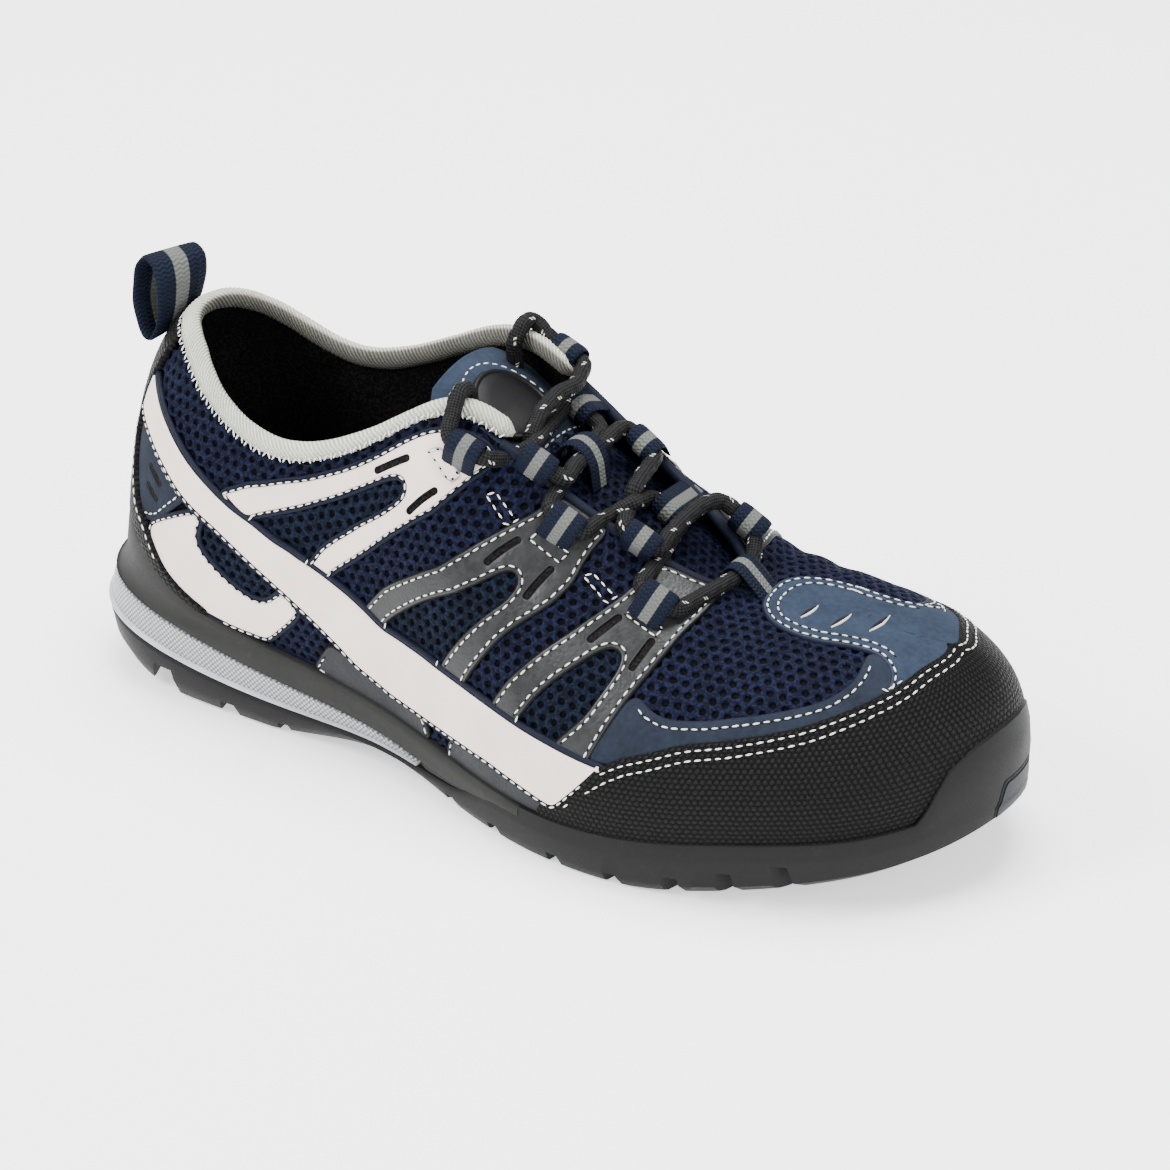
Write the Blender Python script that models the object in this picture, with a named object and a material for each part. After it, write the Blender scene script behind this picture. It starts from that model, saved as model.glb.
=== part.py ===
import bmesh
import bpy
import numpy as np

for old in list(bpy.data.objects):
    bpy.data.objects.remove(old, do_unlink=True)

# Driving sizes, millimetres; toe towards +x, outer side of the foot towards -y
MID_X = 145.5
MID_Y = -4.47
WALL = 2.0
GAP = 0.35
SHEET = 1.3
COLUMNS_PER_STATION = 3
ROWS = 7
BINDING_RADIUS = 3.4
BINDING_RISE = 3.9
BINDING_END = 4.6
MIDSOLE_END = 6.0
WEDGE_END = 4.667
CHANNEL_DEPTH = 2.8
INSOLE_INSET = 3.4
INSOLE_THICKNESS = 3.5
TONGUE_THICKNESS = 4.0
CORD_RADIUS = 2.2
CORD_SIDES = 5
LOOP_HOLE = 3.3
LOOP_OUTER = 4.2
LOOP_WIDTH = 6.5
GROOVE_WIDTH = 4.5
GROOVE_DEPTH = 3.8

# Last sections around the foot: feather edge, top edge, handles of the rib between them
LAST_COLUMNS = ("feather_x", "feather_y", "feather_z", "top_x", "top_y", "top_z",
                "low_out", "low_up", "high_out", "high_up")
LAST = {
    "heel_back":     (12, 0, 30, 24.5, 0, 104.5, -3, 25, 15.5, -17),
    "heel_out":      (17, -20, 30, 34.5, -15, 100.5, -1, 24, 15.5, -17),
    "heel_side_out": (38, -32, 29, 54, -28, 91, 5, 22, 9.5, -20),
    "collar_out":    (75, -35, 26, 81, -33, 85, 5, 20, 7, -19),
    "waist_out":     (112, -38, 20, 110, -29, 97, 5, 24, 11, -21),
    "throat_top_out": (140, -45, 15, 134, -25, 108, 6, 30, 15, -18),
    "throat_mid_out": (172, -55, 12, 165, -20, 91, 5, 30, 18, -12),
    "throat_end_out": (205, -57, 13, 199, -11, 72, 4, 28, 24, -4),
    "vamp_out":      (236, -50, 17, 215, 0, 66, 4, 30, 34, 0),
    "toe_side_out":  (262, -37, 20, 239, 3, 64, 4, 28, 28, 0),
    "toe_corner_out": (279, -17, 23, 256, 5, 62, 3, 26, 20, 0),
    "toe_tip":       (286, 7, 24, 262, 7, 61, 3, 25, 17, 0),
    "toe_corner_in": (279, 28, 23, 256, 5, 62, 3, 27, 22, 0),
    "toe_side_in":   (261, 41, 20, 239, 3, 64, 3, 32, 32, 2),
    "vamp_in":       (236, 48, 17, 215, 0, 66, 4, 36, 36, 4),
    "throat_end_in": (207, 47, 14, 199, 12, 74, 4, 34, 24, 0),
    "throat_mid_in": (172, 41, 14, 163, 19, 94, 5, 32, 15, -12),
    "throat_top_in": (140, 34, 17, 130, 23, 110, 5, 30, 10, -18),
    "waist_in":      (112, 31, 21, 102, 28, 101, 4, 24, 8, -22),
    "collar_in":     (75, 33, 26, 68, 32, 87, 4, 20, 7, -20),
    "heel_side_in":  (38, 32, 29, 44, 27, 96, 5, 22, 10, -21),
    "heel_in":       (17, 19, 30, 30, 14.5, 105.5, -1, 24, 15.5, -17),
}
# Sole sections at the outer half of the same stations: height and outward offset of each edge
SOLE_COLUMNS = ("bottom_z", "bottom_out", "edge_z", "edge_out", "wedge_z", "wedge_out", "rim_out")
SOLE = {
    "heel_back":      (9, 4, 21, 10, 32, 7, 2.2),
    "heel_out":       (6, 2, 20, 8, 31, 6, 2.2),
    "heel_side_out":  (0, -1, 15.5, 5, 26.5, 4.5, 2.2),
    "collar_out":     (0, -1, 10.5, 3.5, 19, 3.5, 2.4),
    "waist_out":      (6, -1, 9.8, 2.8, 14, 2.8, 2.4),
    "throat_top_out": (2, -1, 8.5, 2.6, 9.8, 2.6, 2.4),
    "throat_mid_out": (0, -0.5, 9.8, 2.6, 10.6, 2.6, 2.4),
    "throat_end_out": (0, -0.5, 8, 3, 9, 3, 2.4),
    "vamp_out":       (4.2, -1.5, 11, 3.2, 12, 3, 2.5),
    "toe_side_out":   (9.2, -2, 15.3, 3.5, 16, 3, 2.8),
    "toe_corner_out": (13.6, -2.5, 19.5, 4.2, 20, 3, 2.6),
    "toe_tip":        (17, -3, 22, 4.6, 23, 3, 2.6),
}
# Height of the sole rim up the wall of the upper, at stations along the outer half
RIM_AT = (0, 1, 1.333, 1.667, 2, 2.333, 2.667, 3, 9, 9.667, 10, 10.333, 10.667, 11)
RIM_UP = (0.31, 0.315, 0.32, 0.27, 0.18, 0.085, 0.05, 0.035, 0.04, 0.045, 0.23, 0.30, 0.335, 0.345)
# Tread grooves: x at the centre line, turn in degrees, height of the sole underside there
GROOVES = ((24, 20, 2), (44, 14, 0), (64, 8, 0), (146, -8, 1), (166, -10, 0), (186, -12, 0),
           (205, -15, 0), (223, -18, 1.5), (241, -22, 5), (258, -26, 9))
# Tongue sections: x, half width, height in the middle, height at the edge
TONGUE = ((228, 13, 62.3, 60.3), (214, 15, 62.8, 60.8), (200, 17, 64.5, 61.5), (182, 19, 75, 71),
          (165, 20, 85, 80.5), (148, 21, 95, 90), (136, 20, 102, 96.5), (126, 18, 108.5, 103.5),
          (121, 15.5, 112, 108), (118, 11, 113.8, 111.5))
# Heel loop, closed middle line of the webbing in side view: x, z
PULL_LOOP = ((17.1, 98.5), (20.2, 103.5), (21.6, 109), (22.0, 116), (19.4, 122), (14.6, 123.3), (10.6, 118),
             (10.8, 108.5), (14.6, 100))
PULL_THICKNESS = 1.2
PULL_WIDTH = 18.0
# Lace loops along the throat edge: station, height of the loop up the wall, seat over the wall
LOOPS = ((5.06, 0.98, 1.65), (5.62, 0.98, 0.0), (6.12, 0.98, 1.65), (6.52, 0.98, 0.0), (6.98, 0.98, 1.65))
TOE_LOOP = (207.0, 0.5, 69.4, 5.0)

# Panel outlines on the outer side: station around the foot, height up the wall
PANELS = {
    "side_strap": ((0.66, 0.85), (1.03, 0.83), (1.45, 0.805), (1.84, 0.78), (2.23, 0.76), (2.79, 0.71),
                   (3.40, 0.58), (4.00, 0.43), (4.30, 0.36), (4.70, 0.33), (5.10, 0.31), (5.75, 0.30),
                   (6.28, 0.285), (6.64, 0.25), (6.36, 0.155), (6.13, 0.075), (5.98, 0.09), (5.66, 0.105),
                   (4.84, 0.10), (4.32, 0.105), (3.88, 0.15), (3.58, 0.24), (3.16, 0.37), (2.92, 0.44),
                   (2.65, 0.51), (2.41, 0.555), (1.98, 0.59), (1.61, 0.63), (1.25, 0.655), (0.67, 0.665)),
    "heel_patch": ((0.82, 0.63), (1.24, 0.62), (1.63, 0.595), (1.95, 0.56), (1.63, 0.42), (1.41, 0.39),
                   (1.24, 0.44), (1.06, 0.53)),
    "heel_panel": ((1.67, 0.39), (2.01, 0.545), (2.27, 0.53), (2.31, 0.455), (2.47, 0.40), (2.72, 0.33),
                   (2.92, 0.295), (3.02, 0.32), (3.10, 0.36), (3.32, 0.28), (3.02, 0.085), (2.70, 0.09),
                   (2.42, 0.11), (2.26, 0.14), (2.05, 0.205), (1.86, 0.29)),
    "eyestay": ((2.38, 0.78), (2.62, 0.875), (3.00, 0.95), (3.40, 0.97), (4.10, 0.97), (4.80, 0.975),
                (5.38, 0.985), (5.47, 0.93), (5.32, 0.83), (5.18, 0.76), (4.98, 0.69), (4.66, 0.65),
                (4.28, 0.62), (3.96, 0.58), (3.70, 0.53), (3.45, 0.60), (3.49, 0.64), (3.66, 0.685),
                (3.92, 0.725), (4.24, 0.735), (4.50, 0.755), (4.53, 0.785), (4.42, 0.815), (4.22, 0.83),
                (3.86, 0.835), (3.45, 0.82), (3.10, 0.78), (2.85, 0.73)),
    "fork_rear": ((4.08, 0.43), (4.30, 0.485), (4.76, 0.52), (5.10, 0.56), (5.38, 0.64), (5.58, 0.72),
                  (5.74, 0.80), (5.86, 0.88), (5.93, 0.975), (6.33, 0.975), (6.28, 0.83), (6.26, 0.74),
                  (6.16, 0.65), (6.00, 0.57), (5.82, 0.49), (5.64, 0.40), (5.48, 0.325), (5.17, 0.325),
                  (5.38, 0.41), (5.58, 0.49), (5.80, 0.58), (5.89, 0.65), (5.83, 0.68), (5.72, 0.64),
                  (5.54, 0.575), (5.30, 0.51), (4.98, 0.46), (4.60, 0.41), (4.36, 0.375)),
    "fork_front": ((5.77, 0.32), (5.89, 0.39), (6.02, 0.45), (6.16, 0.52), (6.32, 0.60), (6.46, 0.69),
                   (6.56, 0.76), (6.65, 0.86), (6.72, 0.975), (7.42, 0.975), (7.32, 0.85), (7.18, 0.75),
                   (7.10, 0.67), (7.00, 0.58), (6.88, 0.48), (6.72, 0.33), (6.62, 0.275), (6.38, 0.305),
                   (6.46, 0.34), (6.56, 0.39), (6.64, 0.46), (6.73, 0.55), (6.74, 0.61), (6.66, 0.62),
                   (6.56, 0.585), (6.44, 0.525), (6.28, 0.45), (6.16, 0.39), (6.05, 0.325)),
    "sill_panel": ((3.44, 0.075), (3.64, 0.195), (3.90, 0.125), (4.32, 0.085), (4.80, 0.08), (4.80, 0.05),
                   (4.20, 0.05), (3.80, 0.05)),
    "mudguard": ((6.75, 0.275), (6.79, 0.33), (6.87, 0.40), (6.94, 0.48), (7.00, 0.53), (7.09, 0.49),
                 (7.26, 0.47), (7.64, 0.485), (8.06, 0.51), (8.46, 0.56), (8.70, 0.61), (8.86, 0.67),
                 (8.95, 0.75), (9.00, 0.77), (9.19, 0.75), (9.24, 0.70), (9.16, 0.635), (8.99, 0.565),
                 (8.88, 0.535), (8.56, 0.475), (8.24, 0.435), (7.92, 0.405), (7.44, 0.385), (6.92, 0.315)),
}
# Outer half of the panels that cross to the inner side
VAMP_STRIP = ((8.14, 1.0), (8.11, 0.93), (8.26, 0.86), (8.54, 0.835), (8.80, 0.825), (9.05, 0.805),
              (9.27, 0.775), (9.33, 0.70), (9.27, 0.64), (9.13, 0.59), (9.40, 0.65), (9.76, 0.75),
              (10.30, 0.835), (10.78, 0.91), (11.0, 0.93), (11.0, 1.0))
TOE_GUARD_TOP = ((6.15, 0.05), (6.21, 0.075), (6.42, 0.15), (6.60, 0.21), (6.72, 0.25), (6.92, 0.30),
                 (7.44, 0.37), (7.92, 0.39), (8.24, 0.42), (8.56, 0.46), (8.88, 0.52), (9.12, 0.57),
                 (9.40, 0.63), (9.78, 0.73), (10.30, 0.81), (10.78, 0.885), (11.0, 0.905))
TOE_GUARD_FOOT = ((11.0, 0.375), (10.667, 0.365), (10.333, 0.33), (10.0, 0.26), (9.64, 0.065), (9.5, 0.055))
BACKSTAY = ((0.0, 0.985), (0.50, 0.985), (0.59, 0.86), (0.60, 0.67), (0.75, 0.58), (1.00, 0.50),
            (1.18, 0.405), (1.37, 0.365), (1.61, 0.375), (1.82, 0.285), (1.96, 0.22), (1.667, 0.295),
            (1.333, 0.345), (1.0, 0.34), (0.5, 0.335), (0.0, 0.335))

COLOURS = {
    "mesh_navy": (0.018, 0.027, 0.13),
    "nubuck_blue": (0.07, 0.10, 0.16),
    "leather_beige": (0.72, 0.68, 0.64),
    "synthetic_grey": (0.09, 0.10, 0.10),
    "guard_black": (0.025, 0.025, 0.028),
    "rubber_black": (0.022, 0.022, 0.024),
    "foam_grey": (0.11, 0.11, 0.105),
    "wedge_silver": (0.58, 0.60, 0.62),
    "binding_cream": (0.60, 0.61, 0.52),
    "webbing_navy": (0.015, 0.025, 0.09),
    "cord_black": (0.02, 0.02, 0.02),
    "lining_black": (0.015, 0.015, 0.017),
}

STATION_COUNT = len(LAST)
HALF = STATION_COUNT // 2
COLUMNS = STATION_COUNT * COLUMNS_PER_STATION
LAST_TABLE = np.array(list(LAST.values()), float)
outer_rows = list(SOLE.values())
SOLE_TABLE = np.array(outer_rows + outer_rows[HALF - 1:0:-1], float)


# Smooth closed curve through one row per station, read at station numbers
def ring(values, at):
    count = len(values)
    eye = np.eye(count)
    matrix = 4 * eye + np.roll(eye, 1, 1) + np.roll(eye, -1, 1)
    slope = np.linalg.solve(matrix, 3 * (np.roll(values, -1, 0) - np.roll(values, 1, 0)))
    at = np.asarray(at, float) % count
    low = np.floor(at).astype(int) % count
    high = (low + 1) % count
    t = (at - np.floor(at))[:, None]
    keep = 2 * t**3 - 3 * t**2 + 1
    leave = t**3 - 2 * t**2 + t
    arrive = t**3 - t**2
    return keep * values[low] + leave * slope[low] + (1 - keep) * values[high] + arrive * slope[high]


# Plan direction pointing away from the foot
def outward(at):
    at = np.asarray(at, float)
    along = ring(LAST_TABLE[:, :2], at + 0.01) - ring(LAST_TABLE[:, :2], at - 0.01)
    along /= np.linalg.norm(along, axis=1)[:, None]
    return np.stack([along[:, 1], -along[:, 0]], 1)


# Outer skin of the upper at stations and heights
def skin(at, up):
    at = np.atleast_1d(np.asarray(at, float)) % STATION_COUNT
    up = np.atleast_1d(np.asarray(up, float))[None, :, None]
    row = ring(LAST_TABLE, at)
    twin = ring(LAST_TABLE, STATION_COUNT - at)
    crown = ((at >= 8) & (at <= 14))[:, None]
    top = np.where(crown, 0.5 * (row[:, 3:6] + twin[:, 3:6]), row[:, 3:6])
    away = outward(at)
    low = row[:, 0:3] + np.concatenate([away * row[:, 6:7], row[:, 7:8]], 1)
    high = top + np.concatenate([away * row[:, 8:9], row[:, 9:10]], 1)
    return ((1 - up)**3 * row[:, None, 0:3] + 3 * up * (1 - up)**2 * low[:, None]
            + 3 * up**2 * (1 - up) * high[:, None] + up**3 * top[:, None])


# Point in plan at an offset outside the feather edge, at a given height
def ledge(at, out, height):
    at = np.atleast_1d(np.asarray(at, float))
    flat = ring(LAST_TABLE[:, :2], at) + outward(at) * np.reshape(out, (-1, 1))
    return np.concatenate([flat, np.reshape(height, (-1, 1)) * np.ones((len(at), 1))], 1)


finishes = {}


def finish(slot):
    if slot not in finishes:
        made = bpy.data.materials.new(slot)
        made.use_nodes = True
        shader = made.node_tree.nodes["Principled BSDF"]
        shader.inputs["Base Color"].default_value = (*COLOURS[slot], 1)
        shader.inputs["Roughness"].default_value = 0.6
        finishes[slot] = made
    return finishes[slot]


# One closed body from points and faces
def make(name, slot, points, faces):
    place = (np.asarray(points, float) - (MID_X, MID_Y, 0)) * 0.001
    mesh = bpy.data.meshes.new(name)
    mesh.from_pydata([tuple(p) for p in place], [], faces)
    body = bmesh.new()
    body.from_mesh(mesh)
    bmesh.ops.remove_doubles(body, verts=body.verts[:], dist=0.000002)
    bmesh.ops.triangulate(body, faces=body.faces[:])
    bmesh.ops.recalc_face_normals(body, faces=body.faces[:])
    body.to_mesh(mesh)
    body.free()
    mesh.materials.append(finish(slot))
    thing = bpy.data.objects.new(name, mesh)
    bpy.context.scene.collection.objects.link(thing)
    return thing


# Grid of the upper with its normals; the two crown edges share their points
station_grid = np.arange(COLUMNS) / COLUMNS_PER_STATION
grid = skin(station_grid, np.linspace(0, 1, ROWS + 1))
number = np.arange(COLUMNS * (ROWS + 1)).reshape(COLUMNS, ROWS + 1)
crown_first = 8 * COLUMNS_PER_STATION
crown_last = 14 * COLUMNS_PER_STATION
for column in range(HALF * COLUMNS_PER_STATION + 1, crown_last + 1):
    number[column, ROWS] = number[COLUMNS - column, ROWS]
flat_points = grid.reshape(-1, 3)
flat_normals = np.zeros_like(flat_points)
skin_faces = []
for column in range(COLUMNS):
    after = (column + 1) % COLUMNS
    for row in range(ROWS):
        corner = (number[column, row], number[after, row], number[after, row + 1], number[column, row + 1])
        skin_faces.append((corner[0], corner[1], corner[2]))
        skin_faces.append((corner[0], corner[2], corner[3]))
        facing = np.cross(flat_points[corner[2]] - flat_points[corner[0]],
                          flat_points[corner[3]] - flat_points[corner[1]])
        for one in corner:
            flat_normals[one] += facing
length = np.linalg.norm(flat_normals, axis=1)
flat_normals[length > 0] /= length[length > 0][:, None]
normals = flat_normals[number]
grid = flat_points[number]

# Upper: outer and inner skin, joined along the feather edge and the open rim
total = len(flat_points)
upper_faces = list(skin_faces)
upper_faces += [tuple(total + one for one in reversed(face)) for face in skin_faces]
for column in range(COLUMNS):
    after = (column + 1) % COLUMNS
    near, far = number[column, 0], number[after, 0]
    upper_faces.append((far, near, total + near, total + far))
    if column < crown_first or column >= crown_last:
        near, far = number[column, ROWS], number[after, ROWS]
        upper_faces.append((near, far, total + far, total + near))
used = sorted({one for face in upper_faces for one in face})
place_of = {one: k for k, one in enumerate(used)}
both_skins = np.concatenate([flat_points, flat_points - WALL * flat_normals])
make("upper", "mesh_navy", both_skins[used], [tuple(place_of[one] for one in face) for face in upper_faces])


# Point over the faceted skin: fractional column, fractional row, distance outside it
def over_skin(column, row, lift):
    low_c = int(np.floor(column + 1e-6))
    low_r = min(int(np.floor(row + 1e-6)), ROWS - 1)
    a, b = column - low_c, row - low_r
    c0, c1 = low_c % COLUMNS, (low_c + 1) % COLUMNS
    if a >= b:
        weights = ((c0, low_r, 1 - a), (c1, low_r, a - b), (c1, low_r + 1, b))
    else:
        weights = ((c0, low_r, 1 - b), (c1, low_r + 1, a), (c0, low_r + 1, b - a))
    return sum(w * (grid[c, r] + lift * normals[c, r]) for c, r, w in weights)


# Outline cut along the facet lines of the upper, one small face per facet
def cut_cells(outline):
    flat = bmesh.new()
    corners = [flat.verts.new((at * COLUMNS_PER_STATION, up * ROWS, 0)) for at, up in outline]
    flat.faces.new(corners)
    for across, point in (((1, 0, 0), (1, 0, 0)), ((0, 1, 0), (0, 1, 0)), ((1, -1, 0), (1, 0, 0))):
        reach = [corner.co.x * across[0] + corner.co.y * across[1] for corner in flat.verts]
        for step in range(int(np.ceil(min(reach))), int(np.floor(max(reach))) + 1):
            bmesh.ops.bisect_plane(flat, geom=flat.verts[:] + flat.edges[:] + flat.faces[:], dist=0.002,
                                   plane_co=tuple(step * p for p in point), plane_no=across)
    cells = [[(v.co.x, v.co.y) for v in face.verts] for face in flat.faces]
    flat.free()
    return cells


# Panel lying on the upper, made from one outline or from halves that share an edge
def panel(name, slot, *outlines):
    points = {}
    faces = []
    for outline in outlines:
        for cell in cut_cells(outline):
            face = []
            for column, row in cell:
                spot = over_skin(column, row, GAP)
                key = tuple(np.round(spot, 2))
                if key not in points:
                    points[key] = (len(points), spot, over_skin(column, row, GAP + SHEET))
                if points[key][0] not in face:
                    face.append(points[key][0])
            if len(face) > 2:
                faces.append(face)
    count = len(points)
    ordered = sorted(points.values(), key=lambda item: item[0])
    spots = [item[1] for item in ordered] + [item[2] for item in ordered]
    edges = {}
    for face in faces:
        for a, b in zip(face, face[1:] + face[:1]):
            edges.setdefault(frozenset((a, b)), []).append((a, b))
    solid = [tuple(reversed(face)) for face in faces]
    solid += [tuple(count + one for one in face) for face in faces]
    for uses in edges.values():
        if len(uses) == 1:
            a, b = uses[0]
            solid.append((a, b, count + b, count + a))
    return make(name, slot, spots, solid)


def mirrored(outline):
    return tuple((STATION_COUNT - at, up) for at, up in reversed(outline))


PANEL_SLOTS = {"side_strap": "leather_beige", "heel_patch": "nubuck_blue", "heel_panel": "leather_beige",
               "eyestay": "leather_beige", "fork_rear": "synthetic_grey", "fork_front": "synthetic_grey",
               "sill_panel": "synthetic_grey", "mudguard": "nubuck_blue"}
for piece, outline in PANELS.items():
    panel(piece + "_outer", PANEL_SLOTS[piece], outline)
    panel(piece + "_inner", PANEL_SLOTS[piece], mirrored(outline))
panel("vamp_strip", "nubuck_blue", VAMP_STRIP, mirrored(VAMP_STRIP))
guard_half = TOE_GUARD_TOP + TOE_GUARD_FOOT
panel("toe_guard", "guard_black", guard_half, mirrored(guard_half))
panel("backstay", "guard_black", [(at + STATION_COUNT, up) for at, up in BACKSTAY],
      [(STATION_COUNT - at, up) for at, up in reversed(BACKSTAY)])


# Rows of points joined into a band; the ends of each row meet when the band is closed
def band(rows, closed):
    faces = []
    count = len(rows[0])
    size = len(rows)
    steps = count if closed else count - 1
    for row in range(size - 1):
        for k in range(steps):
            after = (k + 1) % count
            faces.append((row * count + k, row * count + after,
                          (row + 1) * count + after, (row + 1) * count + k))
    return faces


# Rungs from the outer to the inner side across one ring of points
def rungs(first, count, closed):
    faces = []
    top = count // 2 if closed else (count - 1) // 2
    for k in range(top):
        a, b = first + k, first + k + 1
        if closed:
            c, d = first + (count - k - 1) % count, first + (count - k) % count
        else:
            c, d = first + count - k - 2, first + count - k - 1
        for three in ((a, b, c), (a, c, d)):
            if len(set(three)) == 3:
                faces.append(three)
    return faces


def sole_row(at):
    row = ring(SOLE_TABLE, at)
    return {name: row[:, k] for k, name in enumerate(SOLE_COLUMNS)}


def rim_height(at):
    at = np.asarray(at, float) % STATION_COUNT
    return np.interp(np.minimum(at, STATION_COUNT - at), RIM_AT, RIM_UP)


# Points beside the wall of the upper, one height per station
def beside(at, up, lift):
    return np.array([over_skin(s % STATION_COUNT * COLUMNS_PER_STATION, h * ROWS, d)
                     for s, h, d in zip(at, up, np.broadcast_to(lift, len(at)))])


# Outsole: lug edge, side and seat of the midsole at the heel; rim, bumper and foot bed in front
at = station_grid
size = sole_row(at)
bottom = np.maximum(size["bottom_z"], 0)
edge_z, edge_out, rim_out = size["edge_z"], size["edge_out"], size["rim_out"]
rim = rim_height(at)
clear = GAP + 2.2 * rim
feather = ring(LAST_TABLE[:, 2:3], at)[:, 0]
near_heel = (np.minimum(at, STATION_COUNT - at) < MIDSOLE_END + 0.01)[:, None]
side_out = 0.25 * size["bottom_out"] + 0.75 * edge_out + 0.4
seat_z = edge_z - 0.9 * np.clip((3 - np.minimum(at, STATION_COUNT - at)) / 1.5, 0, 1)
outsole_rows = [
    ledge(at, size["bottom_out"], bottom),
    ledge(at, side_out, bottom + 0.45 * (edge_z - bottom)),
    np.where(near_heel, ledge(at, edge_out, edge_z - 1.2), ledge(at, rim_out + 0.8, feather - 1.5)),
    np.where(near_heel, ledge(at, edge_out - 0.3, edge_z - 0.4), beside(at, 0.5 * rim, rim_out + 0.3)),
    np.where(near_heel, ledge(at, edge_out - 0.9, edge_z), beside(at, rim, 0.7 * rim_out)),
    np.where(near_heel, ledge(at, GAP + 1.2, seat_z), beside(at, rim, clear)),
    np.where(near_heel, ledge(at, GAP + 0.6, seat_z), beside(at, 0.5 * rim, clear)),
    np.where(near_heel, ledge(at, GAP, seat_z), ledge(at, GAP, feather - GAP)),
]
outsole_faces = band(outsole_rows, True)
outsole_faces += rungs(0, COLUMNS, True)
outsole_faces += rungs((len(outsole_rows) - 1) * COLUMNS, COLUMNS, True)
outsole = make("outsole", "rubber_black", np.concatenate(outsole_rows), outsole_faces)

# Tread grooves between the lugs, from both edges to the rib in the middle
groove_points = []
groove_faces = []
for x, turn, under in GROOVES:
    for side in (-1, 1):
        swing = np.radians(turn)
        first = len(groove_points)
        for across in (7, 75):
            for along in (-0.5 * GROOVE_WIDTH, 0.5 * GROOVE_WIDTH):
                for height in (-4, under + GROOVE_DEPTH):
                    forward = along * np.cos(swing) + across * np.sin(swing)
                    sideways = across * np.cos(swing) - along * np.sin(swing)
                    groove_points.append((x + forward, MID_Y + side * sideways, height))
        quads = ((0, 1, 3, 2), (4, 6, 7, 5), (0, 4, 5, 1), (2, 3, 7, 6), (0, 2, 6, 4), (1, 5, 7, 3))
        groove_faces += [tuple(first + k for k in quad) for quad in quads]
cutter = make("tread_cutter", "rubber_black", groove_points, groove_faces)
cutter.hide_render = True
cutter.display_type = "WIRE"
tread = outsole.modifiers.new("tread", "BOOLEAN")
tread.operation = "DIFFERENCE"
tread.solver = "EXACT"
tread.object = cutter

# Midsole: seat, channel for the wedge, side, heel cup and foot bed, ending at the ball
reach = int(MIDSOLE_END * COLUMNS_PER_STATION)
at = np.arange(-reach, reach + 1) / COLUMNS_PER_STATION
size = sole_row(at)
rim = rim_height(at)
clear = GAP + 1.5 * rim
feather = ring(LAST_TABLE[:, 2:3], at)[:, 0]
deep = np.where(np.abs(at) < WEDGE_END + 0.05, CHANNEL_DEPTH, 0.5)
channel = size["wedge_out"] - deep
midsole_rows = [
    ledge(at, channel, size["edge_z"] + GAP),
    ledge(at, channel, size["wedge_z"]),
    ledge(at, size["wedge_out"], size["wedge_z"]),
    ledge(at, 0.6 * size["wedge_out"] + 1.4, np.maximum(0.75 * feather + 0.25 * size["wedge_z"], size["wedge_z"] + 1.2)),
    beside(at, 0.5 * rim, size["rim_out"] + 0.5),
    beside(at, rim, 0.75 * size["rim_out"]),
    beside(at, rim, clear),
    beside(at, 0.5 * rim, clear),
    ledge(at, GAP, feather - GAP),
]
count = len(at)
last_row = (len(midsole_rows) - 1) * count
midsole_faces = band(midsole_rows, False)
midsole_faces += rungs(0, count, False)
midsole_faces += rungs(last_row, count, False)
midsole_faces.append((0, count - 1, last_row + count - 1, last_row))
midsole_faces.append(tuple(row * count for row in range(len(midsole_rows))))
midsole_faces.append(tuple(row * count + count - 1 for row in range(len(midsole_rows))))
make("midsole", "foam_grey", np.concatenate(midsole_rows), midsole_faces)

# Heel wedge: band around the heel with a bead along its lower edge, thinning to the waist
reach = int(round(WEDGE_END * COLUMNS_PER_STATION))
at = np.arange(-reach, reach + 1) / COLUMNS_PER_STATION
size = sole_row(at)
inner = size["wedge_out"] - CHANNEL_DEPTH + GAP
foot = size["edge_z"] + GAP
head = size["wedge_z"] - GAP
tall = head - foot
wedge_rows = [
    ledge(at, inner, foot),
    ledge(at, size["edge_out"] + 0.1, foot),
    ledge(at, size["edge_out"] + 0.4, foot + 0.16 * tall),
    ledge(at, size["edge_out"] - 0.5, foot + 0.27 * tall),
    ledge(at, size["wedge_out"], head),
    ledge(at, inner, head),
]
wedge_faces = band(wedge_rows + [wedge_rows[0]], False)
count = len(at)
wedge_faces.append(tuple(k * count for k in range(6)))
wedge_faces.append(tuple(k * count + count - 1 for k in range(6)))
make("heel_wedge", "wedge_silver", np.concatenate(wedge_rows + [wedge_rows[0]]), wedge_faces)

# Insole on the foot bed
at = station_grid
feather = ring(LAST_TABLE[:, 2:3], at)[:, 0]
insole_rows = [ledge(at, -INSOLE_INSET, feather), ledge(at, -INSOLE_INSET, feather + INSOLE_THICKNESS)]
insole_faces = band(insole_rows, True) + rungs(0, COLUMNS, True) + rungs(COLUMNS, COLUMNS, True)
make("insole", "lining_black", np.concatenate(insole_rows), insole_faces)


# Round or flat section swept along a path with its own two section axes
def sweep(centres, first_axis, second_axis, section):
    rows = [centres + a * first_axis + b * second_axis for a, b in section]
    faces = band(rows + [rows[0]], False)
    count = len(centres)
    faces.append(tuple(k * count for k in range(len(section))))
    faces.append(tuple(k * count + count - 1 for k in range(len(section))))
    return np.concatenate(rows + [rows[0]]), faces


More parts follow.
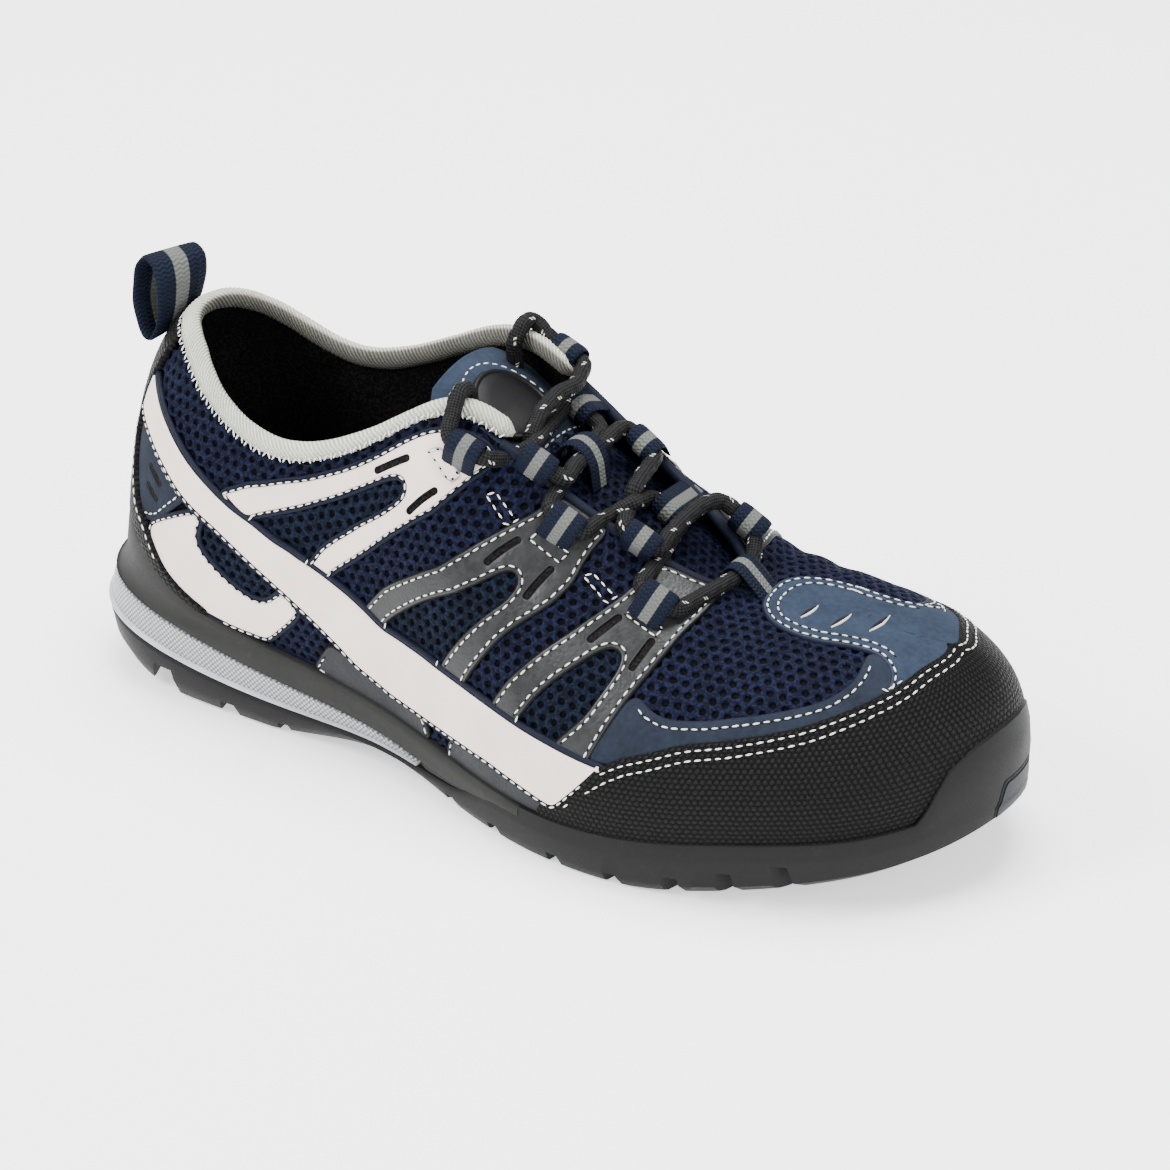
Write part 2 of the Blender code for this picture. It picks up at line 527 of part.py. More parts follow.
# Collar binding above the top edge, from throat to throat around the heel
whole = int(BINDING_END * COLUMNS_PER_STATION)
at = np.concatenate([[-BINDING_END], np.arange(-whole, whole + 1) / COLUMNS_PER_STATION, [BINDING_END]])
top = skin(at, (0.97, 1.0))
rise = top[:, 1] - top[:, 0]
rise /= np.linalg.norm(rise, axis=1)[:, None]
along = np.gradient(top[:, 1], axis=0)
facing = np.cross(along, rise)
facing /= np.linalg.norm(facing, axis=1)[:, None]
middle = top[:, 1] + BINDING_RISE * rise - 1.0 * facing
circle = [(BINDING_RADIUS * np.cos(a), BINDING_RADIUS * np.sin(a)) for a in np.arange(8) * np.pi / 4]
make("collar_binding", "binding_cream", *sweep(middle, facing, rise, circle))

# Tongue: arched sheet under the throat
points = []
across = (-1.0, -0.6, 0.0, 0.6, 1.0)
centre_line = np.array([(x, z) for x, half, z, edge in TONGUE], float)
slope = np.gradient(centre_line, axis=0)
slope /= np.linalg.norm(slope, axis=1)[:, None]
for lift in (0.0, -TONGUE_THICKNESS):
    for (x, half, z, edge), way in zip(TONGUE, slope):
        for t in across:
            thin = lift * (1 - 0.55 * t * t)
            height = z - (z - edge) * t * t
            points.append((x + thin * way[1], 1.0 + t * half, height - thin * way[0]))
wide = len(across)
deep = len(TONGUE)
layer = wide * deep
tongue_faces = []
for row in range(deep - 1):
    for k in range(wide - 1):
        quad = (row * wide + k, row * wide + k + 1, (row + 1) * wide + k + 1, (row + 1) * wide + k)
        tongue_faces.append(quad)
        tongue_faces.append(tuple(layer + one for one in reversed(quad)))
border = [k for k in range(wide)]
border += [row * wide + wide - 1 for row in range(1, deep)]
border += [(deep - 1) * wide + k for k in range(wide - 2, -1, -1)]
border += [row * wide for row in range(deep - 2, 0, -1)]
for a, b in zip(border, border[1:] + border[:1]):
    tongue_faces.append((a, b, layer + b, layer + a))
make("tongue", "mesh_navy", points, tongue_faces)


# Webbing loop around the cord: origin, direction to the throat, away from the foot, along the cord
def webbing_loop(name, base, to_throat, away, along_cord, seat, tail):
    height = max(seat, 1.2) + 0.4 + LOOP_OUTER
    hole = [(LOOP_HOLE * np.cos(a), height + LOOP_HOLE * np.sin(a)) for a in np.arange(8) * np.pi / 4]
    rim_line = [(LOOP_OUTER * np.cos(a), height + LOOP_OUTER * np.sin(a)) for a in np.arange(8) * np.pi / 4]
    rim_line[4] = (-tail, seat + 1.7)
    rim_line[5] = (-tail, seat + 0.45)
    spots = []
    for side in (-0.5, 0.5):
        for outline in (hole, rim_line):
            spots += [base + u * to_throat + w * away + side * LOOP_WIDTH * along_cord for u, w in outline]
    faces = []
    for k in range(8):
        after = (k + 1) % 8
        faces.append((k, after, 8 + after, 8 + k))
        faces.append((16 + k, 24 + k, 24 + after, 16 + after))
        faces.append((k, 16 + k, 16 + after, after))
        faces.append((8 + k, 8 + after, 24 + after, 24 + k))
    make(name, "webbing_navy", spots, faces)
    return base + height * away


# Frame on the skin: point, direction up the wall, outward normal, direction to the heel
def wall_frame(at, up):
    base = skin(at, (up, up + 0.02))[0]
    rise_here = base[1] - base[0]
    rise_here /= np.linalg.norm(rise_here)
    around = skin((at - 0.02, at + 0.02), up)[:, 0]
    around = around[1] - around[0]
    normal = np.cross(around, rise_here)
    normal /= np.linalg.norm(normal)
    heelward = np.cross(rise_here, normal)
    if heelward[0] > 0:
        heelward = -heelward
    return base[0], rise_here, normal, heelward


holds = {}
for k, (at_loop, up_loop, seat) in enumerate(LOOPS):
    for side, spot in (("outer", at_loop), ("inner", STATION_COUNT - at_loop)):
        base, to_throat, away, heelward = wall_frame(spot, up_loop)
        name = "lace_loop_%s_%d" % (side, k + 1)
        centre = webbing_loop(name, base, to_throat, away, heelward, seat, 9.0)
        holds[side, k] = (centre, heelward)
toe_x, toe_y, toe_z, toe_tail = TOE_LOOP
toe_hold = webbing_loop("lace_loop_toe", np.array((toe_x, toe_y, toe_z)), np.array((-1.0, 0, 0)),
                        np.array((0, 0, 1.0)), np.array((0, 1.0, 0)), 0.0, toe_tail)


# Path with its corners cut
def smooth(points):
    points = np.asarray(points, float)
    near = 0.75 * points[:-1] + 0.25 * points[1:]
    far = 0.25 * points[:-1] + 0.75 * points[1:]
    cut = np.stack([near, far], 1).reshape(-1, 3)
    return np.concatenate([points[:1], cut[1:-1], points[-1:]])


# Lace: two halves of the cord from the toe loop to the top loops, joined where they cross
crossings = []
for k in range(4, 0, -1):
    four = [holds[side, row][0] for side in ("outer", "inner") for row in (k, k - 1)]
    crossings.append(np.mean(four, axis=0))
halves = []
for first, second in (("outer", "inner"), ("inner", "outer")):
    away_y = -1.0 if first == "outer" else 1.0
    route = [toe_hold - (0, 0.8 * away_y, 0), toe_hold + (0, 6.5 * away_y, 0)]
    for turn, row in enumerate(range(4, -1, -1)):
        centre, heelward = holds[first if turn % 2 == 0 else second, row]
        route += [centre + step * heelward for step in (-6.3, -4.2, 4.2)]
        if row > 0:
            route += [centre + 6.3 * heelward, crossings[turn]]
    path = smooth(route)
    way = np.gradient(path, axis=0)
    way /= np.linalg.norm(way, axis=1)[:, None]
    aside = np.cross(way, (0.5, 0, 0.87))
    aside /= np.linalg.norm(aside, axis=1)[:, None]
    hexagon = [(CORD_RADIUS * np.cos(a), CORD_RADIUS * np.sin(a))
               for a in np.arange(CORD_SIDES) * 2 * np.pi / CORD_SIDES]
    name = "lace" if first == "outer" else "lace_second_half"
    halves.append(make(name, "cord_black", *sweep(path, aside, np.cross(aside, way), hexagon)))
halves[1].hide_render = True
halves[1].display_type = "WIRE"
knit = halves[0].modifiers.new("crossings", "BOOLEAN")
knit.operation = "UNION"
knit.solver = "EXACT"
knit.object = halves[1]

# Heel loop: closed webbing behind the collar
line = np.array(PULL_LOOP)
way = np.roll(line, -1, 0) - np.roll(line, 1, 0)
way /= np.linalg.norm(way, axis=1)[:, None]
beside_line = np.stack([way[:, 1], -way[:, 0]], 1)
pull_rows = []
for lift, side in ((-0.5, -0.5), (0.5, -0.5), (0.5, 0.5), (-0.5, 0.5), (-0.5, -0.5)):
    flat = line + lift * PULL_THICKNESS * beside_line
    pull_rows.append(np.stack([flat[:, 0], np.full(len(flat), side * PULL_WIDTH), flat[:, 1]], 1))
make("pull_loop", "webbing_navy", np.concatenate(pull_rows), band(pull_rows, True))
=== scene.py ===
import bmesh
import bpy
import math
import numpy as np
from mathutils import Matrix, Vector
from mathutils.bvhtree import BVHTree


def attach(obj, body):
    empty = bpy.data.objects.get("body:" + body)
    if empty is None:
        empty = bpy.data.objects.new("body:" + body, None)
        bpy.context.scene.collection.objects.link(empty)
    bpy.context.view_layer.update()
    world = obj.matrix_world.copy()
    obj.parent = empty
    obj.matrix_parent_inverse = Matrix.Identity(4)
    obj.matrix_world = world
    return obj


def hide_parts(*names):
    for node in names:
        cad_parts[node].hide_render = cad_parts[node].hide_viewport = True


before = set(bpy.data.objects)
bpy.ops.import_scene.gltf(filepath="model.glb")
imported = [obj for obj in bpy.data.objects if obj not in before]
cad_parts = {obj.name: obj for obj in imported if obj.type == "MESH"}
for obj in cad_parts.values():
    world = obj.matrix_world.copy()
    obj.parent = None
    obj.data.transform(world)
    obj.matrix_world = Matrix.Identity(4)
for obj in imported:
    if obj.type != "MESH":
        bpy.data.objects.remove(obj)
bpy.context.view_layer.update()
scene = bpy.context.scene
print("frame loaded,", len(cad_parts), "nodes")

# last sections around the foot: feather edge, top edge, handles of the rib between them (millimetres)
rowOrigin = np.array((145.5, -4.47, 0.0))
lastRows = {
    "heelBack": (12, 0, 30, 24.5, 0, 104.5, -3, 25, 15.5, -17),
    "heelOut": (17, -20, 30, 34.5, -15, 100.5, -1, 24, 15.5, -17),
    "heelSideOut": (38, -32, 29, 54, -28, 91, 5, 22, 9.5, -20),
    "collarOut": (75, -35, 26, 81, -33, 85, 5, 20, 7, -19),
    "waistOut": (112, -38, 20, 110, -29, 97, 5, 24, 11, -21),
    "throatTopOut": (140, -45, 15, 134, -25, 108, 6, 30, 15, -18),
    "throatMidOut": (172, -55, 12, 165, -20, 91, 5, 30, 18, -12),
    "throatEndOut": (205, -57, 13, 199, -11, 72, 4, 28, 24, -4),
    "vampOut": (236, -50, 17, 215, 0, 66, 4, 30, 34, 0),
    "toeSideOut": (262, -37, 20, 239, 3, 64, 4, 28, 28, 0),
    "toeCornerOut": (279, -17, 23, 256, 5, 62, 3, 26, 20, 0),
    "toeTip": (286, 7, 24, 262, 7, 61, 3, 25, 17, 0),
    "toeCornerIn": (279, 28, 23, 256, 5, 62, 3, 27, 22, 0),
    "toeSideIn": (261, 41, 20, 239, 3, 64, 3, 32, 32, 2),
    "vampIn": (236, 48, 17, 215, 0, 66, 4, 36, 36, 4),
    "throatEndIn": (207, 47, 14, 199, 12, 74, 4, 34, 24, 0),
    "throatMidIn": (172, 41, 14, 163, 19, 94, 5, 32, 15, -12),
    "throatTopIn": (140, 34, 17, 130, 23, 110, 5, 30, 10, -18),
    "waistIn": (112, 31, 21, 102, 28, 101, 4, 24, 8, -22),
    "collarIn": (75, 33, 26, 68, 32, 87, 4, 20, 7, -20),
    "heelSideIn": (38, 32, 29, 44, 27, 96, 5, 22, 10, -21),
    "heelIn": (17, 19, 30, 30, 14.5, 105.5, -1, 24, 15.5, -17),
}
# sole sections on the outer half: bottom height and offset, lug edge, wedge top, rim offset
soleRowsOut = ((9, 4, 21, 10, 32, 7, 2.2), (6, 2, 20, 8, 31, 6, 2.2), (0, -1, 15.5, 5, 26.5, 4.5, 2.2),
               (0, -1, 10.5, 3.5, 19, 3.5, 2.4), (6, -1, 9.8, 2.8, 14, 2.8, 2.4),
               (2, -1, 8.5, 2.6, 9.8, 2.6, 2.4), (0, -0.5, 9.8, 2.6, 10.6, 2.6, 2.4),
               (0, -0.5, 8, 3, 9, 3, 2.4), (4.2, -1.5, 11, 3.2, 12, 3, 2.5), (9.2, -2, 15.3, 3.5, 16, 3, 2.8),
               (13.6, -2.5, 19.5, 4.2, 20, 3, 2.6), (17, -3, 22, 4.6, 23, 3, 2.6))
rimAt = (0, 1, 1.333, 1.667, 2, 2.333, 2.667, 3, 9, 9.667, 10, 10.333, 10.667, 11)
rimUp = (0.31, 0.315, 0.32, 0.27, 0.18, 0.085, 0.05, 0.035, 0.04, 0.045, 0.23, 0.30, 0.335, 0.345)
stations = len(lastRows)
aroundStep, upStep = 28, 75    # about how many millimetres one station p and one height v measure
crownStart, crownEnd = 8, 14    # stations between which both sides meet over the toes
lastTable = np.array(list(lastRows.values()), float)
soleTable = np.array(soleRowsOut + soleRowsOut[-2:0:-1], float)


def slopesOf(table):
    eye = np.eye(len(table))
    matrix = 4 * eye + np.roll(eye, 1, 1) + np.roll(eye, -1, 1)
    return np.linalg.solve(matrix, 3 * (np.roll(table, -1, 0) - np.roll(table, 1, 0)))


lastSlopes, soleSlopes = slopesOf(lastTable), slopesOf(soleTable)


# smooth closed curve through one row per station
def readRing(table, slopes, at):
    at = np.asarray(at, float) % stations
    low = np.floor(at).astype(int) % stations
    high = (low + 1) % stations
    t = (at - np.floor(at))[:, None]
    keep = 2 * t**3 - 3 * t**2 + 1
    return (keep * table[low] + (t**3 - 2 * t**2 + t) * slopes[low]
            + (1 - keep) * table[high] + (t**3 - t**2) * slopes[high])


def unit(vectors):
    return vectors / np.maximum(np.linalg.norm(vectors, axis=-1, keepdims=True), 1e-9)


# length along a line, from its first point
def runAlong(points):
    return np.concatenate([[0], np.cumsum(np.linalg.norm(np.diff(points, axis=0), axis=1))])


# the same station on the outer or the inner side
def onSide(p, side):
    return p if side > 0 else stations - p


def outward(at):
    along = unit(readRing(lastTable[:, :2], lastSlopes[:, :2], at + 0.01)
                 - readRing(lastTable[:, :2], lastSlopes[:, :2], at - 0.01))
    return np.stack([along[:, 1], -along[:, 0]], 1)


# outer skin of the upper: station p around the foot, height v up the wall
def skinAt(p, v):
    p = np.atleast_1d(np.asarray(p, float)) % stations
    v = np.broadcast_to(np.asarray(v, float), p.shape)[:, None]
    row = readRing(lastTable, lastSlopes, p)
    twin = readRing(lastTable, lastSlopes, stations - p)
    crown = ((p >= crownStart) & (p <= crownEnd))[:, None]
    top = np.where(crown, 0.5 * (row[:, 3:6] + twin[:, 3:6]), row[:, 3:6])
    away = outward(p)
    low = row[:, 0:3] + np.concatenate([away * row[:, 6:7], row[:, 7:8]], 1)
    high = top + np.concatenate([away * row[:, 8:9], row[:, 9:10]], 1)
    return (1 - v)**3 * row[:, 0:3] + 3 * v * (1 - v)**2 * low + 3 * v**2 * (1 - v) * high + v**3 * top


def skinFrame(p, v):
    p = np.atleast_1d(np.asarray(p, float))
    v = np.broadcast_to(np.asarray(v, float), p.shape)
    e = 0.004
    flat = np.clip(v, -0.05, 0.99)
    alongP = (skinAt(p + e, flat) - skinAt(p - e, flat)) / (2 * e)
    alongV = (skinAt(p, flat + e) - skinAt(p, flat - e)) / (2 * e)
    return unit(np.cross(alongP, alongV)), alongP, alongV


# creases of the worn upper: start, end (p, v), half width and depth in millimetres
creases = (((7.35, 0.60), (7.75, 0.93), 4.0, 0.55), ((7.75, 0.52), (8.15, 0.80), 3.5, 0.35),
           ((2.15, 0.88), (2.45, 0.97), 3.5, 0.5), ((1.35, 0.90), (1.55, 0.98), 3.0, 0.4),
           ((3.20, 0.62), (3.42, 0.70), 3.0, 0.35))


def creaseLift(p, v):
    side = np.minimum(p % stations, stations - p % stations)
    total = np.zeros_like(side)
    for (p0, v0), (p1, v1), width, depth in creases:
        ax, ay = (side - p0) * aroundStep, (v - v0) * upStep
        bx, by = (p1 - p0) * aroundStep, (v1 - v0) * upStep
        t = np.clip((ax * bx + ay * by) / (bx * bx + by * by), 0, 1)
        away = np.hypot(ax - t * bx, ay - t * by) / width
        total += depth * (0.45 * np.exp(-(away - 1.6)**2) - np.exp(-away**2))
    return total


def onSkin(p, v, lift):
    p = np.atleast_1d(np.asarray(p, float))
    v = np.broadcast_to(np.asarray(v, float), p.shape)
    normal = skinFrame(p, v)[0]
    seam = (v > 0.997) & (p % stations >= crownStart) & (p % stations <= crownEnd)
    if seam.any():
        normal[seam] = unit(normal[seam] + skinFrame(stations - p[seam], v[seam])[0])
    return skinAt(p, v) + (np.broadcast_to(lift, p.shape) + creaseLift(p, v))[:, None] * normal


def ledge(at, out, height):
    flat = readRing(lastTable[:, :2], lastSlopes[:, :2], at) + outward(at) * np.reshape(out, (-1, 1))
    return np.concatenate([flat, np.reshape(height, (-1, 1)) * np.ones((len(at), 1))], 1)


def rimHeight(at):
    at = np.asarray(at, float) % stations
    return np.interp(np.minimum(at, stations - at), rimAt, rimUp)


# lengths along the wall in millimetres, used as the flow of woven patterns
flowAt = np.linspace(0, stations, 441)
flowLine = skinAt(flowAt, 0.4)
flowSum = runAlong(flowLine)


def flowOf(p, v):
    ribs = sum(np.linalg.norm(skinAt(p, v * (k + 1) / 6) - skinAt(p, v * k / 6), axis=1) for k in range(6))
    return np.stack([np.interp(p % stations, flowAt, flowSum), ribs], 1) * 0.001


def place(points):
    return (np.asarray(points, float) - rowOrigin) * 0.001


def newPiece(name, points, faces, materials, tints=None, flow=None, weld=0.0, sharp=None):
    mesh = bpy.data.meshes.new(name)
    mesh.from_pydata(place(points).tolist(), [], [tuple(int(k) for k in face) for face in faces])
    for material in materials:
        mesh.materials.append(material)
    if tints is not None:
        mesh.polygons.foreach_set("material_index", np.asarray(tints, np.int32))
    if flow is not None:
        layer = mesh.uv_layers.new(name="flow")
        corners = np.zeros(len(mesh.loops), np.int32)
        mesh.loops.foreach_get("vertex_index", corners)
        layer.data.foreach_set("uv", np.asarray(flow, float)[corners].ravel())
    if weld:
        body = bmesh.new()
        body.from_mesh(mesh)
        bmesh.ops.remove_doubles(body, verts=body.verts[:], dist=weld * 0.001)
        bmesh.ops.recalc_face_normals(body, faces=body.faces[:])
        body.to_mesh(mesh)
        body.free()
    mesh.shade_smooth()
    if sharp:
        mesh.set_sharp_from_angle(angle=math.radians(sharp))
    thing = bpy.data.objects.new(name, mesh)
    scene.collection.objects.link(thing)
    return thing


# every piece rides on the shoe and takes the place of its solids
def seat(piece, slotName, *nodes):
    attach(piece, "root")
    if nodes:
        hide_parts(*nodes)


def bandFaces(rows, count, closed):
    k = np.arange(count if closed else count - 1)
    after = (k + 1) % count
    return np.concatenate([np.stack([r * count + k, r * count + after, (r + 1) * count + after,
                                     (r + 1) * count + k], 1) for r in range(rows - 1)]).tolist()


# first and last points of a run of rows, as its two end faces
def endCaps(rows, count):
    return [tuple(row * count for row in range(rows)), tuple(row * count + count - 1 for row in range(rows))]


# points around the edge of a grid
def gridEdge(deep, count):
    edge = list(range(count)) + [row * count + count - 1 for row in range(1, deep)]
    edge += [(deep - 1) * count + k for k in range(count - 2, -1, -1)]
    return edge + [row * count for row in range(deep - 2, 0, -1)]


# several bodies of points and faces as one
def joined(bodies):
    faces, total = [], 0
    for spots, ownFaces in bodies:
        faces += [tuple(total + k for k in face) for face in ownFaces]
        total += len(spots)
    return np.concatenate([spots for spots, ownFaces in bodies]), faces


# rungs from the outer to the inner side across one ring of points
def rungs(first, count, closed):
    faces = []
    for k in range(count // 2 if closed else (count - 1) // 2):
        a, b = first + k, first + k + 1
        if closed:
            c, d = first + (count - k - 1) % count, first + (count - k) % count
        else:
            c, d = first + count - k - 2, first + count - k - 1
        faces += [three for three in ((a, b, c), (a, c, d)) if len(set(three)) == 3]
    return faces


# a shader value that takes part in sums
class Val:
    def __init__(self, paint, socket):
        self.paint, self.socket = paint, socket

    def of(self, name):
        return Val(self.paint, self.socket.node.outputs[name])

    def math(self, kind, *values):
        return self.paint.add("ShaderNodeMath", {"operation": kind}, dict(enumerate(values)))

    def __add__(self, other): return self.math("ADD", self, other)
    def __radd__(self, other): return self.math("ADD", other, self)
    def __sub__(self, other): return self.math("SUBTRACT", self, other)
    def __rsub__(self, other): return self.math("SUBTRACT", other, self)
    def __mul__(self, other): return self.math("MULTIPLY", self, other)
    def __rmul__(self, other): return self.math("MULTIPLY", other, self)
    def __truediv__(self, other): return self.math("DIVIDE", self, other)
    def __rtruediv__(self, other): return self.math("DIVIDE", other, self)
    def __neg__(self): return self.math("MULTIPLY", self, -1.0)
    def sine(self): return self.math("SINE", self)
    def fract(self): return self.math("FRACT", self)
    def floor(self): return self.math("FLOOR", self)
    def size(self): return self.math("ABSOLUTE", self)
    def most(self, other): return self.math("MAXIMUM", self, other)

    def soft(self, low, high, start=0.0, end=1.0):
        inputs = {"Value": self, "From Min": low, "From Max": high, "To Min": start, "To Max": end}
        return self.paint.add("ShaderNodeMapRange", {"interpolation_type": "SMOOTHSTEP"}, inputs)


# one material with its nodes
class Paint:
    def __init__(self, name, **fixed):
        self.material = bpy.data.materials.new(name)
        self.material.use_nodes = True
        self.tree = self.material.node_tree
        self.shader = self.tree.nodes["Principled BSDF"]
        self.set(**fixed)

    def set(self, **values):
        names = {"color": "Base Color", "rough": "Roughness", "metal": "Metallic", "coat": "Coat Weight",
                 "coatRough": "Coat Roughness", "sheen": "Sheen Weight", "normal": "Normal",
                 "gloss": "Specular IOR Level"}
        for key, value in values.items():
            self.plug(self.shader.inputs[names[key]], value)
        return self

    def plug(self, socket, value):
        if isinstance(value, Val):
            self.tree.links.new(value.socket, socket)
        elif socket.type == "RGBA":
            socket.default_value = (*value, 1.0)
        else:
            socket.default_value = value

    def add(self, kind, settings, inputs):
        node = self.tree.nodes.new(kind)
        for key, value in settings.items():
            setattr(node, key, value)
        for key, value in inputs.items():
            self.plug(node.inputs[key], value)
        return Val(self, node.outputs[0])

    def spot(self):
        return self.add("ShaderNodeTexCoord", {}, {}).of("Object")

    def flow(self):
        uv = self.add("ShaderNodeUVMap", {"uv_map": "flow"}, {})
        parts = self.add("ShaderNodeSeparateXYZ", {}, {"Vector": uv})
        return parts.of("X") * 1000.0, parts.of("Y") * 1000.0

    def noise(self, size, detail=2.0):
        inputs = {"Vector": self.spot(), "Scale": 1000.0 / size, "Detail": detail}
        return self.add("ShaderNodeTexNoise", {}, inputs)

    def cells(self, size):
        return self.add("ShaderNodeTexVoronoi", {}, {"Vector": self.spot(), "Scale": 1000.0 / size})

    def blend(self, share, first, second):
        made = self.add("ShaderNodeMix", {"data_type": "RGBA"}, {0: share, 6: first, 7: second})
        return Val(self, made.socket.node.outputs[2])

    def shades(self, share, color, low, high):
        return self.blend(share, shade(color, low), shade(color, high))

    def bump(self, height, distance):
        inputs = {"Strength": 1.0, "Distance": distance * 0.001, "Height": height}
        return self.set(normal=self.add("ShaderNodeBump", {}, inputs))


def shade(color, share):
    return tuple(c * share for c in color)


def knitPaint(name, color, size=0.55):
    paint = Paint(name, gloss=0.06)
    fine = paint.noise(size, 3.0)
    broad = paint.noise(9.0)
    strands = (paint.noise(0.9, 1.0) * 9.0 + fine * 3.0).sine() * 0.5 + 0.5
    paint.set(color=paint.shades((strands * 0.55 + broad * 0.45).soft(0.2, 0.85), color, 0.45, 1.5),
              rough=fine.soft(0.2, 0.8, 0.62, 0.85))
    return paint.bump(strands * 0.6 + fine * 0.4, 0.22).material


def leatherPaint(name, color, dark, rough=0.42, grain=0.9, gloss=0.35):
    paint = Paint(name, gloss=gloss, coatRough=0.35)
    broad, fine = paint.noise(14.0, 3.0), paint.noise(grain, 4.0)
    marks = paint.cells(1.1)
    paint.set(color=paint.blend(broad.soft(0.25, 0.75) * 0.7 + fine.soft(0.3, 0.7) * 0.3, dark, color),
              rough=fine.soft(0.2, 0.8, rough - 0.06, rough + 0.12),
              coat=broad.soft(0.3, 0.8, 0.0, 0.1 * gloss))
    return paint.bump(marks.soft(0.0, 0.8) * 0.6 + fine * 0.4, 0.07).material


def nubuckPaint(name, color):
    paint = Paint(name, gloss=0.04, sheen=0.02)
    broad, nap, fine = paint.noise(11.0, 3.0), paint.noise(1.6, 4.0), paint.noise(0.35, 2.0)
    mottle = broad.soft(0.25, 0.75) * 0.5 + nap.soft(0.25, 0.75) * 0.5
    paint.set(color=paint.shades(mottle, color, 0.68, 1.28), rough=nap.soft(0.2, 0.8, 0.78, 0.95))
    return paint.bump(nap * 0.5 + fine * 0.5, 0.16).material


def wovenPaint(name, color, pitch=1.35):
    paint = Paint(name, gloss=0.08)
    u, w = paint.flow()
    wob = paint.noise(5.0)
    row = (w / pitch + wob * 0.5).floor()
    across = ((u / (pitch * 1.3) + wob * 0.5 + row * 0.5).fract() - 0.5).size()
    up = ((w / pitch + wob * 0.5).fract() - 0.5).size()
    knot = 1.0 - (across * across + up * up) * 4.4
    fine = paint.noise(0.3, 3.0)
    # knot tops painted up to 1.75 times lighter and the gaps down to 0.16: painted highlight on the knots and
    # painted shade between them
    paint.set(color=paint.shades(knot.soft(-0.2, 0.9), color, 0.16, 1.75),
              rough=fine.soft(0.2, 0.8, 0.45, 0.66))
    return paint.bump(knot.most(0.0) * 0.85 + fine * 0.15, 0.9).material


def rubberPaint(name, color, rough=0.5, speck=0.5):
    paint = Paint(name, gloss=0.12)
    broad, fine = paint.noise(18.0, 4.0), paint.noise(speck, 3.0)
    scuff = paint.noise(3.2, 6.0).soft(0.60, 0.76)
    paint.set(color=paint.shades(scuff * 0.5 + broad.soft(0.3, 0.8) * 0.5, color, 0.85, 1.5),
              rough=(broad * 0.5 + fine * 0.5).soft(0.2, 0.8, rough - 0.08, rough + 0.16))
    return paint.bump(fine, 0.05).material


def silverPaint(name, color):
    paint = Paint(name, gloss=0.5)
    u, w = paint.flow()
    cross = (((u + w) * 1.9).sine() * ((u - w) * 1.9).sine()).size()
    fine = paint.noise(0.5, 3.0)
    paint.set(color=paint.shades(cross.soft(0.0, 0.7), color, 0.32, 1.1), metal=fine.soft(0.3, 0.7, 0.1, 0.3),
              rough=fine.soft(0.2, 0.8, 0.34, 0.5))
    return paint.bump(cross * 0.8 + fine * 0.2, 0.55).material


def knittedEdgePaint(name, color):
    paint = Paint(name, gloss=0.15, sheen=0.05)
    u, w = paint.flow()
    fine = paint.noise(0.4, 3.0)
    rib = ((u * 4.6 + w * 2.6) + fine * 2.6).sine() * 0.5 + 0.5
    broad = paint.noise(8.0, 3.0)
    # face turned into the shoe painted far darker: painted shade, over a greyer knit there
    inner = w.soft(6.5, 8.5) * w.soft(17.5, 19.5, 1.0, 0.0)
    pale = paint.shades(rib * 0.6 + broad * 0.4, color, 0.42, 1.12)
    deep = paint.shades(rib * 0.6 + broad * 0.4, color, 0.05, 0.34)
    paint.set(color=paint.blend(inner, pale, deep), rough=fine.soft(0.2, 0.8, 0.7, 0.9))
    return paint.bump(rib * 0.6 + fine * 0.4, 0.7).material


# webbing: flow x runs across the band in millimetres, y along it
def webbingPaint(name, color, stripe, half):
    paint = Paint(name, gloss=0.07)
    u, w = paint.flow()
    fine = paint.noise(0.35, 3.0)
    weft = ((w * 5.2) + (u * 4.0).sine() * 1.3).sine() * 0.5 + 0.5
    middle = u.size().soft(half - 0.15, half + 0.15, 1.0, 0.0)
    base = paint.shades(weft * 0.6 + fine * 0.4, color, 0.5, 1.4)
    light = paint.shades(weft * 0.5 + fine * 0.5, stripe, 0.65, 1.15)
    paint.set(color=paint.blend(middle, base, light), rough=fine.soft(0.2, 0.8, 0.6, 0.8))
    return paint.bump(weft * 0.75 + fine * 0.25, 0.3).material


fullTurn = 6.2832


# braided cord: flow x is the turn around it (0 to 1), y the length in millimetres
def cordPaint(name, color, fleck):
    paint = Paint(name, gloss=0.07)
    u, w = paint.flow()
    fine = paint.noise(0.3, 3.0)
    turn = u * 0.001
    lane = (w / 6.2 + turn * 1.0).fract()
    pair = (turn * 2.0 + w / 26.0).fract()
    spots = (lane - 0.5).size().soft(0.09, 0.12, 1.0, 0.0) * (pair - 0.5).size().soft(0.05, 0.07, 1.0, 0.0)
    split = (w / 1.55 + turn * 4.0).fract()
    spots = spots * (split - 0.5).size().soft(0.30, 0.40, 1.0, 0.0)
    left, right = ((way * w / 1.5 + turn * 8.0) * fullTurn for way in (1.0, -1.0))
    strands = left.sine() * right.sine() * 0.5 + 0.5
    woven = strands * 0.75 + fine * 0.25
    base = paint.shades(woven.soft(0.3, 0.7), color, 0.35, 2.0)
    paint.set(color=paint.blend(spots, base, fleck), rough=fine.soft(0.2, 0.8, 0.45, 0.7))
    return paint.bump(woven, 0.3).material


def threadPaint(name, color):
    paint = Paint(name, gloss=0.12)
    fine, broad = paint.noise(0.35, 2.0), paint.noise(7.0)
    paint.set(color=paint.shades(fine * 0.6 + broad * 0.4, color, 0.72, 1.1),
              rough=fine.soft(0.2, 0.8, 0.5, 0.75))
    return paint.bump(fine, 0.1).material


